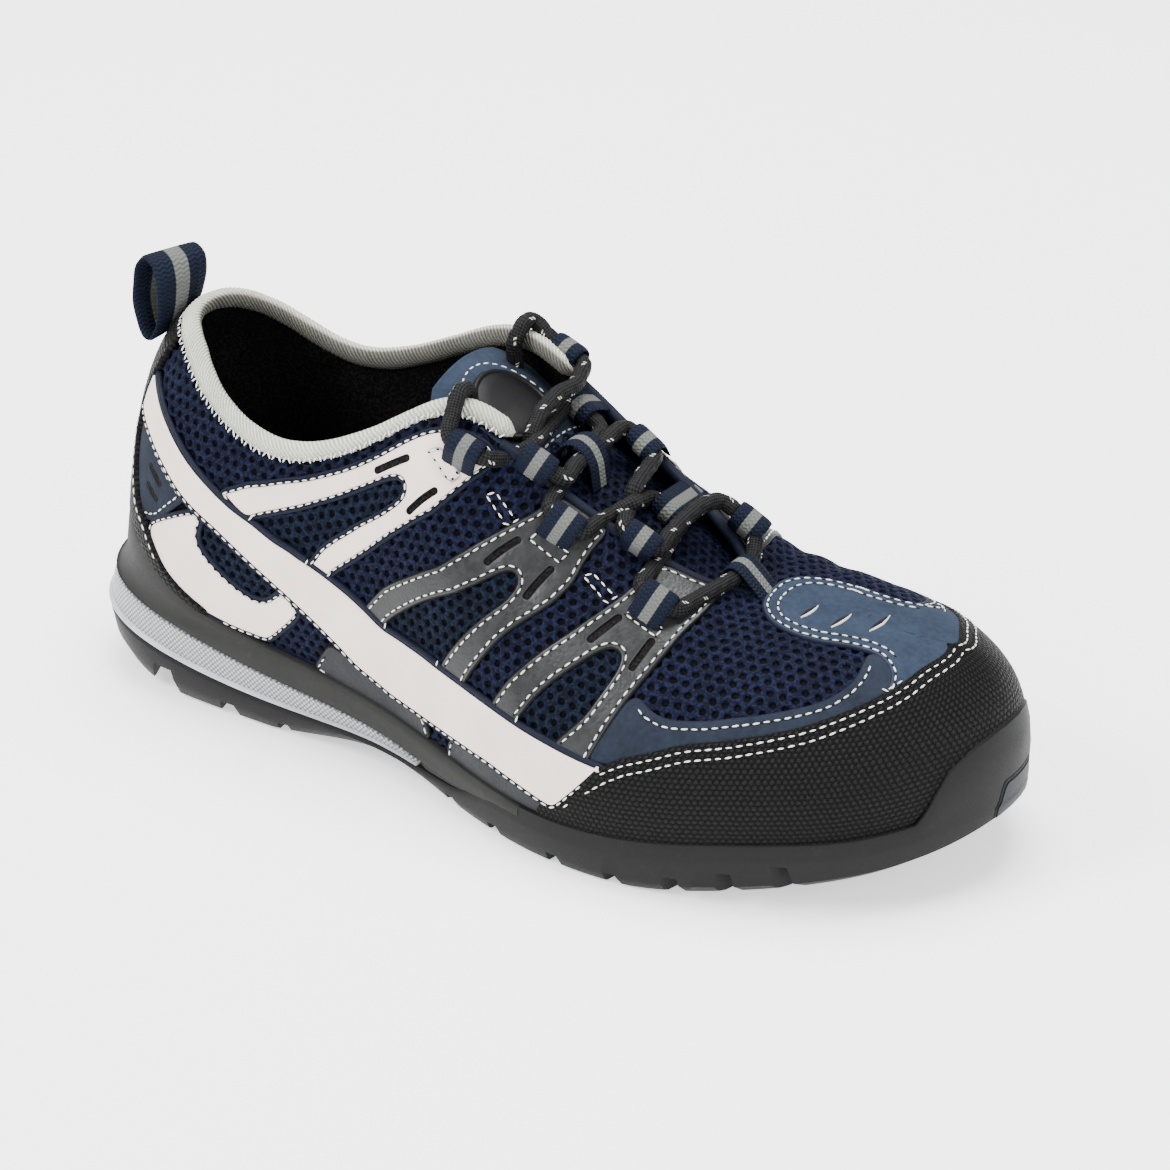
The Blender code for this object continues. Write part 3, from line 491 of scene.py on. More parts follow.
navy = (0.0046, 0.0062, 0.0185)
paints = {
    "mesh": knitPaint("meshNavy", navy),
    "deep": knitPaint("meshDeep", (0.0036, 0.0064, 0.0150)),
    # near-black knit laid under the perforated knit: painted shade in its holes
    "under": knitPaint("meshUnderPaintedShade", (0.0010, 0.0012, 0.0030)),
    "lining": knitPaint("liningBlack", (0.0075, 0.0066, 0.0066), 0.8),
    "beige": leatherPaint("leatherBeige", (0.80, 0.675, 0.605), (0.71, 0.585, 0.52)),
    "grey": leatherPaint("syntheticGrey", (0.0190, 0.0203, 0.0212), (0.0086, 0.0092, 0.0098), 0.36, 2.0, 0.3),
    "slate": leatherPaint("sillSlate", (0.0215, 0.0222, 0.0255), (0.0150, 0.0155, 0.0180), 0.45, 1.4, 0.10),
    "nubuck": nubuckPaint("nubuckBlue", (0.0145, 0.0185, 0.0285)),
    # lighter copy of the blue nubuck for the upward-facing strip and tongue top: painted sheen
    "nubuckPaintedSheen": nubuckPaint("nubuckPaintedSheen", (0.0205, 0.0295, 0.0480)),
    "guard": wovenPaint("guardBlack", (0.0052, 0.0052, 0.0055)),
    "rubber": rubberPaint("rubberBlack", (0.0070, 0.0070, 0.0074)),
    "foam": rubberPaint("foamGrey", (0.0175, 0.0174, 0.0170), 0.58),
    "silver": silverPaint("wedgeSilver", (0.42, 0.43, 0.455)),
    "bead": rubberPaint("beadSilver", (0.42, 0.43, 0.45), 0.36),
    "cream": knittedEdgePaint("bindingCream", (0.64, 0.645, 0.55)),
    "webbing": webbingPaint("webbingNavy", (0.0050, 0.0074, 0.0165), (0.115, 0.12, 0.112), 1.5),
    "cord": cordPaint("cordBlack", (0.0085, 0.0085, 0.0090), (0.50, 0.50, 0.46)),
    "thread": threadPaint("threadWhite", (0.72, 0.73, 0.68)),
    # near-black fill: painted shade in the needle holes and slit openings; also the border round the toe
    # plate
    "needle": threadPaint("needleDark", (0.004, 0.004, 0.006)),
    "edgeNavy": threadPaint("edgeNavy", (0.0045, 0.0065, 0.0160)),
    "edgeGrey": leatherPaint("edgeGrey", (0.0042, 0.0045, 0.0048), (0.0025, 0.0027, 0.003), 0.42, 0.9, 0.1),
    # darker beige for the rim of the top tab: painted shade along its edge
    "rimBeigeShade": leatherPaint("rimBeigeShade", (0.36, 0.325, 0.30), (0.22, 0.20, 0.19)),
    "plate": rubberPaint("plateSlate", (0.0120, 0.0140, 0.0185), 0.45),
    "patch": rubberPaint("patchDark", (0.0040, 0.0040, 0.0046), 0.4),
}
print("materials", len(paints))


# dense line between (p, v) controls, about step millimetres apart
def denseLine(controls, step, closed):
    spots = np.array(list(controls) + ([controls[0]] if closed else []), float)
    line = []
    for a, b in zip(spots, spots[1:]):
        gap = np.linalg.norm(skinAt(b[:1], b[1]) - skinAt(a[:1], a[1]))
        count = max(1, int(math.ceil(gap / step)))
        line += [a + (b - a) * k / count for k in range(count)]
    return np.array(line if closed else line + [spots[-1]])


def softened(line, rounds, closed):
    for _ in range(rounds):
        if closed:
            line = 0.25 * np.roll(line, 1, 0) + 0.5 * line + 0.25 * np.roll(line, -1, 0)
        else:
            middle = 0.25 * line[:-2] + 0.5 * line[1:-1] + 0.25 * line[2:]
            line = np.concatenate([line[:1], middle, line[-1:]])
    return line


def signedArea(line):
    x, y = line[:, 0] * aroundStep, line[:, 1] * upStep
    return 0.5 * np.sum(x * np.roll(y, -1) - np.roll(x, -1) * y)


# line moved over the skin by (p, v) for a step given in millimetres
def slide(p, v, step):
    alongP, alongV = skinFrame(p, v)[1:]
    a, b, c = (alongP * alongP).sum(1), (alongP * alongV).sum(1), (alongV * alongV).sum(1)
    r, s = (alongP * step).sum(1), (alongV * step).sum(1)
    det = np.maximum(a * c - b * b, 1e-6)
    return np.stack([p + (c * r - b * s) / det, v + (a * s - b * r) / det], 1)


def inset(line, distance, closed):
    if distance == 0:
        return line.copy()
    p, v = line.T
    spots = skinAt(p, v)
    along = np.roll(spots, -1, 0) - np.roll(spots, 1, 0) if closed else np.gradient(spots, axis=0)
    moved = slide(p, v, distance * unit(np.cross(skinFrame(p, v)[0], along)))
    if not closed:
        for end in (0, -1):
            if abs(p[end] % 11) < 1e-6:
                moved[end, 0] = p[end]
            elif v[end] > 0.999:
                moved[end, 1] = 1.0
    return moved


def inside(p, v, line):
    hit = np.zeros(len(p), bool)
    for (p0, v0), (p1, v1) in zip(line, np.roll(line, -1, 0)):
        if v0 != v1:
            hit ^= ((v0 > v) != (v1 > v)) & (p < (p1 - p0) * (v - v0) / (v1 - v0) + p0)
    return hit


# closed sheet over the skin: border, seam to its mirrored half, slots, edge profile (inset, lift, tint)
def sheetBody(border, seam, slots, profile, cell):
    body = bmesh.new()
    closed = len(seam) == 0
    tops, bottoms = [], []
    top = profile[-1][1]
    slotForm = [(0, profile[0][1], 1), (0, 0.6 * top, 1), (0.15, 0.92 * top, 1), (0.45, top, 0)]
    for line, shut, form in [(border, closed, profile)] + [(slot, True, slotForm) for slot in slots]:
        rings = [[body.verts.new((p * aroundStep, v * upStep, lift)) for p, v in inset(line, distance, shut)]
                 for distance, lift, tint in form]
        count = len(line)
        for low, high, (distance, lift, tint) in zip(rings, rings[1:], form[1:]):
            for k in range(count if shut else count - 1):
                after = (k + 1) % count
                body.faces.new((low[k], low[after], high[after], high[k])).material_index = tint
        tops.append((rings[-1], shut))
        bottoms.append((rings[0], shut))
    for loops, lift, way in ((tops, profile[-1][1], 1), (bottoms, profile[0][1], -1)):
        edges = []
        for ring, shut in loops:
            chain = list(ring)
            if not shut:
                chain += [body.verts.new((p * aroundStep, v * upStep, lift)) for p, v in seam]
            for a, b in zip(chain, chain[1:] + chain[:1]):
                edges.append(body.edges.get((a, b)) or body.edges.new((a, b)))
        bmesh.ops.triangle_fill(body, edges=edges, use_beauty=True, normal=(0, 0, way))
    for axis in (0, 1):
        reach = [vert.co[axis] for vert in body.verts]
        for step in range(int(min(reach) // cell) + 1, int(max(reach) // cell) + 1):
            way = [0, 0, 0]
            way[axis] = 1
            bmesh.ops.bisect_plane(body, geom=body.verts[:] + body.edges[:] + body.faces[:], dist=0.02,
                                   plane_co=[one * (step * cell + 0.013) for one in way], plane_no=way)
    if closed:
        bmesh.ops.recalc_face_normals(body, faces=body.faces[:])
    body.verts.index_update()
    spots = np.array([(vert.co.x / aroundStep, vert.co.y / upStep, vert.co.z) for vert in body.verts])
    faces = [[vert.index for vert in face.verts] for face in body.faces]
    tints = [face.material_index for face in body.faces]
    body.free()
    return spots, faces, tints


# outline of a slot between two (p, v) ends
def slotLine(first, last, width):
    ends = np.array((first, last), float)
    spots = skinAt(ends[:, 0], ends[:, 1])
    way = unit(spots[1] - spots[0])
    line = []
    for end, turn in ((1, -90), (0, 90)):
        normal = skinFrame(ends[end:end + 1, 0], ends[end:end + 1, 1])[0][0]
        side = np.cross(normal, way)
        for k in range(9):
            angle = math.radians(turn + 22.5 * k)
            step = 0.5 * width * (math.cos(angle) * way + math.sin(angle) * side)
            line.append(slide(ends[end:end + 1, 0], ends[end:end + 1, 1], step[None])[0])
    line = np.array(line)
    return line[::-1] if signedArea(line) > 0 else line


# panel outlines on the outer side; ends that lie under another panel run on beneath it
panelLines = {
    "sideStrap": ((0.52, 0.85), (1.03, 0.83), (1.45, 0.805), (1.84, 0.78), (2.23, 0.76), (2.79, 0.71),
                  (3.40, 0.58), (4.00, 0.43), (4.30, 0.36), (4.70, 0.33), (5.10, 0.31), (5.75, 0.30),
                  (6.28, 0.285), (6.84, 0.265), (6.60, 0.155), (6.36, 0.06), (5.98, 0.09), (5.66, 0.105),
                  (4.84, 0.10), (4.32, 0.105), (3.88, 0.15), (3.58, 0.24), (3.16, 0.37), (2.92, 0.44),
                  (2.65, 0.51), (2.41, 0.555), (1.98, 0.59), (1.61, 0.63), (1.25, 0.655), (0.53, 0.665)),
    "heelPatch": ((0.62, 0.68), (1.24, 0.685), (1.63, 0.655), (2.04, 0.62), (1.77, 0.395), (1.47, 0.33),
                  (1.12, 0.375), (0.88, 0.49), (0.66, 0.56)),
    "heelPanel": ((1.64, 0.345), (1.67, 0.39), (2.01, 0.545), (2.13, 0.60), (2.30, 0.585), (2.27, 0.53),
                  (2.31, 0.455), (2.47, 0.40), (2.72, 0.33), (2.92, 0.295), (3.02, 0.32), (3.12, 0.40),
                  (3.24, 0.38), (3.36, 0.30), (3.02, 0.05), (2.70, 0.04), (2.42, 0.06), (2.20, 0.09),
                  (2.00, 0.145), (1.78, 0.24)),
    "eyestay": ((2.30, 0.745), (2.38, 0.78), (2.62, 0.875), (3.00, 0.95), (3.40, 0.97), (4.10, 0.97),
                (4.80, 0.975), (5.38, 0.985), (5.47, 0.93), (5.32, 0.83), (5.18, 0.76), (4.98, 0.69),
                (4.66, 0.65), (4.28, 0.62), (3.96, 0.58), (3.70, 0.53), (3.58, 0.46), (3.34, 0.54),
                (3.45, 0.60), (3.49, 0.64), (3.66, 0.685), (3.92, 0.725), (4.24, 0.735), (4.50, 0.755),
                (4.53, 0.785), (4.42, 0.815), (4.22, 0.83), (3.86, 0.835), (3.45, 0.82), (3.10, 0.78),
                (2.85, 0.73), (2.72, 0.675)),
    "forkRear": ((3.94, 0.38), (4.08, 0.43), (4.30, 0.485), (4.76, 0.52), (5.10, 0.56), (5.38, 0.64),
                 (5.58, 0.72), (5.74, 0.80), (5.86, 0.88), (5.93, 0.985), (6.33, 0.985), (6.28, 0.83),
                 (6.26, 0.74), (6.16, 0.65), (6.00, 0.57), (5.82, 0.49), (5.64, 0.40), (5.48, 0.325),
                 (5.38, 0.26), (5.03, 0.26), (5.17, 0.325), (5.38, 0.41), (5.58, 0.49), (5.80, 0.58),
                 (5.89, 0.65), (5.83, 0.68), (5.72, 0.64), (5.54, 0.575), (5.30, 0.51), (4.98, 0.46),
                 (4.60, 0.41), (4.36, 0.375), (4.22, 0.31)),
    "forkFront": ((5.66, 0.26), (5.77, 0.32), (5.89, 0.39), (6.02, 0.45), (6.16, 0.52), (6.32, 0.60),
                  (6.46, 0.69), (6.56, 0.76), (6.65, 0.86), (6.72, 0.985), (7.42, 0.985), (7.32, 0.85),
                  (7.18, 0.75), (7.10, 0.67), (7.00, 0.58), (6.88, 0.48), (6.72, 0.33), (6.60, 0.22),
                  (6.26, 0.24), (6.38, 0.305), (6.46, 0.34), (6.56, 0.39), (6.64, 0.46), (6.73, 0.55),
                  (6.74, 0.61), (6.66, 0.62), (6.56, 0.585), (6.44, 0.525), (6.28, 0.45), (6.16, 0.39),
                  (6.05, 0.325), (5.94, 0.26)),
    "topTab": ((4.73, 0.890), (4.90, 0.905), (5.24, 0.835), (5.12, 0.785)),
    "sillPanel": ((3.40, 0.03), (3.44, 0.075), (3.60, 0.215), (3.90, 0.17), (4.32, 0.125), (4.82, 0.115),
                  (4.86, 0.03), (4.20, 0.01), (3.80, 0.01)),
    "sillFront": ((5.06, 0.02), (5.16, 0.11), (5.64, 0.125), (6.00, 0.12), (6.26, 0.10), (6.20, 0.01),
                  (5.60, 0.0)),
    "mudguard": ((6.62, 0.26), (6.70, 0.33), (6.78, 0.40), (6.88, 0.49), (6.97, 0.505), (7.08, 0.465),
                 (7.26, 0.447), (7.64, 0.453), (8.06, 0.477), (8.46, 0.522), (8.70, 0.56), (8.88, 0.615),
                 (8.99, 0.67), (9.05, 0.73), (9.12, 0.80), (9.34, 0.79), (9.42, 0.71), (9.36, 0.62),
                 (9.02, 0.53), (8.88, 0.49), (8.56, 0.43), (8.24, 0.39), (7.92, 0.36), (7.44, 0.34),
                 (6.92, 0.27)),
}
stripBorder = ((8.03, 1.0), (7.99, 0.93), (8.12, 0.87), (8.34, 0.833), (8.64, 0.81), (8.96, 0.81),
               (9.24, 0.785), (9.36, 0.71), (9.31, 0.635), (9.16, 0.55), (9.40, 0.555), (9.76, 0.645),
               (10.30, 0.725), (10.78, 0.80), (11.0, 0.82))
guardBorder = ((11.0, 0.905), (10.78, 0.885), (10.30, 0.81), (9.78, 0.73), (9.40, 0.63), (9.12, 0.57),
               (8.88, 0.52), (8.56, 0.46), (8.24, 0.42), (7.92, 0.39), (7.44, 0.37), (6.92, 0.30),
               (6.72, 0.25), (6.60, 0.21), (6.42, 0.15), (6.21, 0.075), (6.13, 0.03), (6.6, 0.01),
               (7.6, 0.01), (9.0, 0.01), (9.6, 0.03), (10.0, 0.17), (10.333, 0.25), (10.667, 0.29),
               (11.0, 0.30))
backBorder = ((0.0, 0.28), (0.5, 0.28), (1.0, 0.285), (1.333, 0.29), (1.667, 0.24), (2.0, 0.15),
              (2.30, 0.085), (2.46, 0.07), (2.50, 0.095), (2.30, 0.135), (2.03, 0.21), (1.84, 0.29),
              (1.63, 0.365), (1.41, 0.39), (1.25, 0.445), (1.02, 0.525), (0.88, 0.60), (0.80, 0.70),
              (0.76, 0.85), (0.70, 1.0), (0.0, 1.0))

bandedEdge = ((0, 0.0), (0, 0.5), (0.25, 0.82), (0.75, 0.86), (0.95, 0.78), (1.75, 0.78), (1.9, 0.96),
              (2.3, 1.0))
plainEdge = ((0, 0.0), (0, 0.55), (0.22, 0.86), (0.55, 0.98), (1.0, 1.0))
panelLooks = {    # paint, edge paint, height over the wall, stitch rows from the edge, slots
    "sideStrap": dict(paint="beige", edge="edgeNavy", high=2.0, rows=(1.36,), edgeForm=bandedEdge,
                      only=lambda p, v: v < np.interp(p, (1.2, 2.04, 2.66, 3.16, 3.58, 3.88, 4.32, 6.4),
                                                      (0.75, 0.70, 0.63, 0.50, 0.38, 0.28, 0.22, 0.18))),
    "heelPatch": dict(paint="nubuck", edge="edgeNavy", high=1.0, rows=(2.2,),
                      slots=(((1.42, 0.575), (1.64, 0.56)), ((1.47, 0.50), (1.66, 0.49)))),
    "heelPanel": dict(paint="beige", edge="edgeNavy", high=1.35, rows=(1.36,), edgeForm=bandedEdge),
    "eyestay": dict(paint="beige", edge="edgeNavy", high=1.45, rows=(1.36,), edgeForm=bandedEdge,
                    slots=(((4.08, 0.89), (4.48, 0.88)), ((4.66, 0.70), (4.96, 0.76)))),
    "topTab": dict(paint="beige", edge="rimBeigeShade", high=2.3, rows=()),
    "forkRear": dict(paint="grey", edge="edgeGrey", high=1.25, rows=(1.6,),
                     slots=(((5.60, 0.65), (5.80, 0.76)), ((5.96, 0.63), (6.08, 0.74)))),
    "forkFront": dict(paint="grey", edge="edgeGrey", high=1.3, rows=(1.6,),
                      slots=(((6.48, 0.61), (6.62, 0.71)), ((6.84, 0.58), (6.92, 0.68)))),
    "sillPanel": dict(paint="slate", edge="edgeGrey", high=1.2, rows=(1.4,),
                      only=lambda p, v: (p < 3.56) | (p > 4.72)),
    "sillFront": dict(paint="slate", edge="edgeGrey", high=1.2, rows=(1.4,), only=lambda p, v: p < 5.20),
    "mudguard": dict(paint="nubuck", edge="edgeNavy", high=1.1, rows=(2.4,),
                     only=lambda p, v: ((p > 6.98) & (p < 9.13)
                                        & (v > np.interp(p, (6.9, 7.26, 8.06, 8.46, 8.7, 8.88, 9.0),
                                                         (0.42, 0.39, 0.42, 0.46, 0.50, 0.55, 0.6))))),
}
panelNodes = {"sideStrap": "side_strap", "heelPatch": "heel_patch", "heelPanel": "heel_panel",
              "eyestay": "eyestay", "forkRear": "fork_rear", "forkFront": "fork_front",
              "sillPanel": "sill_panel", "mudguard": "mudguard", "vampStrip": "vamp_strip",
              "toeGuard": "toe_guard", "backstay": "backstay"}
slotNames = {"beige": "leather_beige", "grey": "synthetic_grey", "slate": "synthetic_grey",
             "nubuck": "nubuck_blue", "nubuckPaintedSheen": "nubuck_blue", "guard": "guard_black"}


def edgeProfile(look):
    form = look.get("edgeForm", plainEdge)
    painted = 1.8 if form is bandedEdge else 0.6    # width of the edge's own paint
    return [(distance, share * look["high"], int(distance < painted)) for distance, share in form]


borders = {}
for name, controls in panelLines.items():
    line = softened(denseLine(controls, 1.1, True), 8, True)
    borders[name] = line if signedArea(line) > 0 else line[::-1]
highOf = {name: look["high"] for name, look in panelLooks.items()}
halfSpecs = {   # border, seam back to its start, paint, height, stitch rows
    # the strip takes the lighter nubuck copy: painted sheen
    "vampStrip": dict(border=stripBorder, seam=((11.0, 0.93), (11.0, 1.0), (10.2, 1.0), (9.2, 1.0)),
                      paint="nubuckPaintedSheen", edge="edgeNavy", high=1.25, rows=(1.5, 4.0), warp=True,
                      only=lambda p, v: p < 9.45),
    "toeGuard": dict(border=guardBorder, seam=((11.0, 0.45), (11.0, 0.6), (11.0, 0.75)),
                     paint="guard", edge="guard", high=1.9, rows=(2.0, 4.5),
                     only=lambda p, v: (((v > 0.15) | ((p < 6.5) & (v > 0.09))) & ~((p > 9.2) & (v < 0.45))
                                        & (p < 10.98))),
    "backstay": dict(border=backBorder, seam=((0.0, 0.8), (0.0, 0.6), (0.0, 0.45)),
                     paint="guard", edge="guard", high=2.35, rows=(1.4,),
                     only=lambda p, v: (p > 0.8) & (v > rimHeight(p) + 0.035)),
}
for name, look in halfSpecs.items():
    line = softened(denseLine(look["border"], 1.1, False), 8, False)
    seam = np.array(look["seam"], float)
    if signedArea(np.concatenate([line, seam])) < 0:
        line, seam = line[::-1], seam[::-1]
    look["line"], look["seamLine"] = line, seam
    borders[name] = np.concatenate([line, seam])
    highOf[name] = look["high"]

threads = {"white": [], "hole": []}


# the strip's wing lies further back on the inner side
def wing(p, v):
    shares = ((0.97 - v) / 0.12, (p - 8.6) / 0.3, (9.8 - p) / 0.35)
    low, front, back = (np.clip(share, 0, 1) for share in shares)
    return p - 0.22 * low * front * back


# stitches along a (p, v) line, one every pitch millimetres, unless a higher panel covers them
def stitchLine(line, closed, lift, owner=None, pitch=2.8, holes=True, only=None, warp=False):
    line = np.concatenate([line, line[:1]]) if closed else line
    run = runAlong(skinAt(line[:, 0], line[:, 1]))
    count = max(1, int(round(run[-1] / pitch)))
    for shift, which in ((0.5, "white"), (1.0, "hole")):
        if which == "hole" and not holes:
            continue
        at = (np.arange(count) + shift) * run[-1] / count
        p, v = np.interp(at, run, line[:, 0]), np.interp(at, run, line[:, 1])
        ahead = np.minimum(at + 0.4, run[-1])
        back = ahead - 0.8
        keep = np.ones(len(p), bool) if only is None else only(p, v)
        if owner:
            for other, border in borders.items():
                if other != owner and highOf[other] > highOf[owner]:
                    keep &= ~inside(p, v, border)
            keep &= v > rimHeight(p) + 0.012
        for side in (1, -1):
            turn = (lambda q, h: q) if side > 0 else (lambda q, h: stations - (wing(q, h) if warp else q))
            seen = keep & ~inside(wing(p, v), v, borders["toeGuard"]) if warp and side < 0 else keep
            ends = [(np.interp(one, run, line[:, 0]), np.interp(one, run, line[:, 1]))
                    for one in (ahead, back)]
            way = skinAt(turn(*ends[0]), ends[0][1]) - skinAt(turn(*ends[1]), ends[1][1])
            spot = onSkin(turn(p, v), v, lift + (0.12 if which == "white" else 0.0))
            facing = skinFrame(turn(p, v), v)[0]
            threads[which].append(np.concatenate([spot, facing, unit(way)], 1)[seen])


panels, slotShadeFloors = {}, []
for name, look in panelLooks.items():
    slots = [slotLine(a, b, 1.9) for a, b in look.get("slots", ())]
    spots, faces, tints = sheetBody(borders[name], (), slots, edgeProfile(look), 3.1)
    mats = [paints[look["paint"]], paints[look["edge"]]]
    for side, word in ((1, "Outer"), (-1, "Inner")):
        p = onSide(spots[:, 0], side)
        points = onSkin(p, spots[:, 1], spots[:, 2])
        piece = newPiece(name + word, points, faces if side > 0 else [face[::-1] for face in faces], mats,
                         tints, flowOf(p, spots[:, 1]), weld=0.004)
        panels[name + word] = piece
        nodes = [panelNodes[name] + "_" + word.lower()] if name in panelNodes else []
        seat(piece, slotNames[look["paint"]], *nodes)
    for a, b in look.get("slots", ()):
        line = slotLine(a, b, 2.6)
        for side in (1, -1):
            p = onSide(line[:, 0], side)
            slotShadeFloors.append((onSkin(p, line[:, 1], 0.85), onSkin(p, line[:, 1], -0.2)))
    for row in look["rows"]:
        stitchLine(inset(borders[name], row, True), True, look["high"], name, only=look.get("only"))
for name, look in halfSpecs.items():
    spots, faces, tints = sheetBody(look["line"], look["seamLine"], (), edgeProfile(look), 3.1)
    size = len(spots)
    p, v, lift = spots.T
    far = stations - (wing(p, v) if look.get("warp") else p)
    both = np.concatenate([onSkin(p, v, lift), onSkin(far, v, lift)])
    flow = np.concatenate([flowOf(p, v), flowOf(stations - p - 1e-6, v)])
    piece = newPiece(name, both, faces + [[size + k for k in face[::-1]] for face in faces],
                     [paints[look["paint"]], paints[look["edge"]]], tints + tints, flow, weld=0.03)
    panels[name] = piece
    seat(piece, slotNames[look["paint"]], panelNodes[name])
    for row in look["rows"]:
        stitchLine(inset(look["line"], row, False), False, look["high"], name, only=look.get("only"),
                   warp=look.get("warp"))

# floors of the slots in near-black lining paint: painted shade inside the slots
bodies = []
for top, low in slotShadeFloors:
    count = len(top)
    faces = [tuple(range(count)), tuple(range(2 * count - 1, count - 1, -1))]
    faces += [(k, (k + 1) % count, count + (k + 1) % count, count + k) for k in range(count)]
    bodies.append((np.concatenate([top, low]), faces))
seat(newPiece("slotShadeFloors", *joined(bodies), [paints["lining"]], weld=0.002, sharp=40), "mesh_navy")

# box stitches that hold the lace loops, and short tacks over the strap's edge: corners or ends (p, v), lift
boxes = ((((5.46, 0.82), (5.53, 0.845), (5.75, 0.81), (5.68, 0.78)), 0.55),
         (((6.30, 0.78), (6.35, 0.805), (6.55, 0.77), (6.50, 0.74)), 0.55),
         (((4.80, 0.878), (4.89, 0.89), (5.19, 0.83), (5.11, 0.80)), 2.3),
         (((5.88, 0.785), (5.93, 0.825), (6.16, 0.82), (6.12, 0.775)), 1.27),
         (((6.66, 0.73), (6.71, 0.765), (6.97, 0.735), (6.94, 0.70)), 1.32))
for corners, lift in boxes:
    stitchLine(denseLine(corners, 0.5, True), True, lift, pitch=2.75)
for p, v in ((2.76, 0.725), (3.40, 0.58), (4.35, 0.375), (5.12, 0.325), (6.00, 0.31)):
    stitchLine(denseLine(((p - 0.02, v - 0.03), (p + 0.02, v + 0.005)), 0.5, False), False, 1.75, pitch=3.5,
               holes=False)
print("panels", len(panels), "faces", sum(len(p.data.polygons) for p in panels.values()))

# upper wall: near-black knit outside, painted shade that shows through the knit's holes, plush lining inside,
# joined along the feather edge and the open rim
wallSize = dict(columns=22 * 9, rows=26, outer=-0.3, inner=-2.2)
wallP = np.repeat(np.arange(wallSize["columns"]) * stations / wallSize["columns"], wallSize["rows"] + 1)
wallV = np.tile(np.linspace(0, 1, wallSize["rows"] + 1), wallSize["columns"])
collarSide = np.minimum(wallP, stations - wallP)
wallV = wallV * (1 + 0.025 * np.clip((5.3 - collarSide) / 0.3, 0, 1))    # runs up under the binding
layers = [onSkin(wallP, wallV, wallSize[word]) for word in ("outer", "inner")]
wallFaces, wallTints = [], []
columns, rows = wallSize["columns"], wallSize["rows"]
half = columns * (rows + 1)
for column in range(columns):
    a, b = column * (rows + 1), (column + 1) % columns * (rows + 1)
    openAbove = not crownStart <= column * stations / columns < crownEnd
    for row in range(rows):
        wallFaces.append((a + row, b + row, b + row + 1, a + row + 1))
        wallFaces.append((half + a + row + 1, half + b + row + 1, half + b + row, half + a + row))
        wallTints += [0, 1]
    wallFaces.append((b, a, half + a, half + b))
    wallTints.append(1)
    if openAbove:
        wallFaces.append((a + rows, b + rows, half + b + rows, half + a + rows))
        wallTints.append(0)
upperWall = newPiece("upperWall", np.concatenate(layers), wallFaces, [paints["under"], paints["lining"]],
                     wallTints, weld=0.02, sharp=60)
seat(upperWall, "mesh_navy", "upper")


# node trees for what repeats
def newTree(name, sizes):
    tree = bpy.data.node_groups.new(name, "GeometryNodeTree")
    tree.interface.new_socket("Geometry", in_out="INPUT", socket_type="NodeSocketGeometry")
    tree.interface.new_socket("Geometry", in_out="OUTPUT", socket_type="NodeSocketGeometry")
    for label, kind in sizes.items():
        tree.interface.new_socket(label, in_out="INPUT", socket_type="NodeSocket" + kind)
    start, end = tree.nodes.new("NodeGroupInput"), tree.nodes.new("NodeGroupOutput")

    def add(kind, settings, inputs):
        node = tree.nodes.new(kind)
        for key, value in settings.items():
            setattr(node, key, value)
        for key, value in inputs.items():
            if isinstance(value, bpy.types.NodeSocket):
                tree.links.new(value, node.inputs[key])
            else:
                node.inputs[key].default_value = value
        return node.outputs
    return tree, start.outputs, end.inputs, add


def grow(tree, points, vectors, settings):
    mesh = bpy.data.meshes.new("seed")
    mesh.from_pydata(np.asarray(points).tolist(), [], [])
    for label, values in vectors.items():
        layer = mesh.attributes.new(label, "FLOAT_VECTOR", "POINT")
        layer.data.foreach_set("vector", np.asarray(values, float).ravel())
    holder = bpy.data.objects.new("seed", mesh)
    scene.collection.objects.link(holder)
    grower = holder.modifiers.new("grow", "NODES")
    grower.node_group = tree
    for item in tree.interface.items_tree:
        if item.in_out == "INPUT" and item.name in settings:
            grower[item.identifier] = settings[item.name]
    made = bpy.data.meshes.new_from_object(holder.evaluated_get(bpy.context.evaluated_depsgraph_get()))
    holder.modifiers.remove(grower)
    bpy.data.objects.remove(holder, do_unlink=True)
    bpy.data.meshes.remove(mesh)
    return made


# stitches: one bead per point, laid along its seam
stitchTree, given, result, add = newTree("stitchRow", {"Size": "Vector", "Wobble": "Float", "Seed": "Int",
                                                       "Paint": "Material"})
bead = add("GeometryNodeMeshUVSphere", {}, {"Segments": 7, "Rings": 5, "Radius": 0.5})["Mesh"]
facing = add("GeometryNodeInputNamedAttribute", {"data_type": "FLOAT_VECTOR"},
             {"Name": "facing"})["Attribute"]
along = add("GeometryNodeInputNamedAttribute", {"data_type": "FLOAT_VECTOR"}, {"Name": "along"})["Attribute"]
turned = add("FunctionNodeAlignRotationToVector", {"axis": "Z"}, {"Vector": facing})["Rotation"]
turned = add("FunctionNodeAlignRotationToVector", {"axis": "X", "pivot_axis": "Z"},
             {"Rotation": turned, "Vector": along})["Rotation"]
swing = add("FunctionNodeRandomValue", {"data_type": "FLOAT"}, {2: -1.0, 3: 1.0, "Seed": given["Seed"]})[1]
swing = add("ShaderNodeMath", {"operation": "MULTIPLY"}, {0: swing, 1: given["Wobble"]})[0]
swing = add("ShaderNodeCombineXYZ", {}, {"Z": swing})[0]
turned = add("FunctionNodeRotateRotation", {"rotation_space": "LOCAL"},
             {"Rotation": turned, "Rotate By": swing})["Rotation"]
scale = add("FunctionNodeRandomValue", {"data_type": "FLOAT"}, {2: 0.9, 3: 1.08, "Seed": given["Seed"]})[1]
scale = add("ShaderNodeVectorMath", {"operation": "SCALE"}, {0: given["Size"], "Scale": scale})[0]
copies = add("GeometryNodeInstanceOnPoints", {},
             {"Points": given["Geometry"], "Instance": bead, "Rotation": turned, "Scale": scale})[0]
solid = add("GeometryNodeRealizeInstances", {}, {"Geometry": copies})[0]
solid = add("GeometryNodeSetShadeSmooth", {}, {"Geometry": solid})[0]
solid = add("GeometryNodeSetMaterial", {}, {"Geometry": solid, "Material": given["Paint"]})[0]
stitchTree.links.new(solid, result["Geometry"])

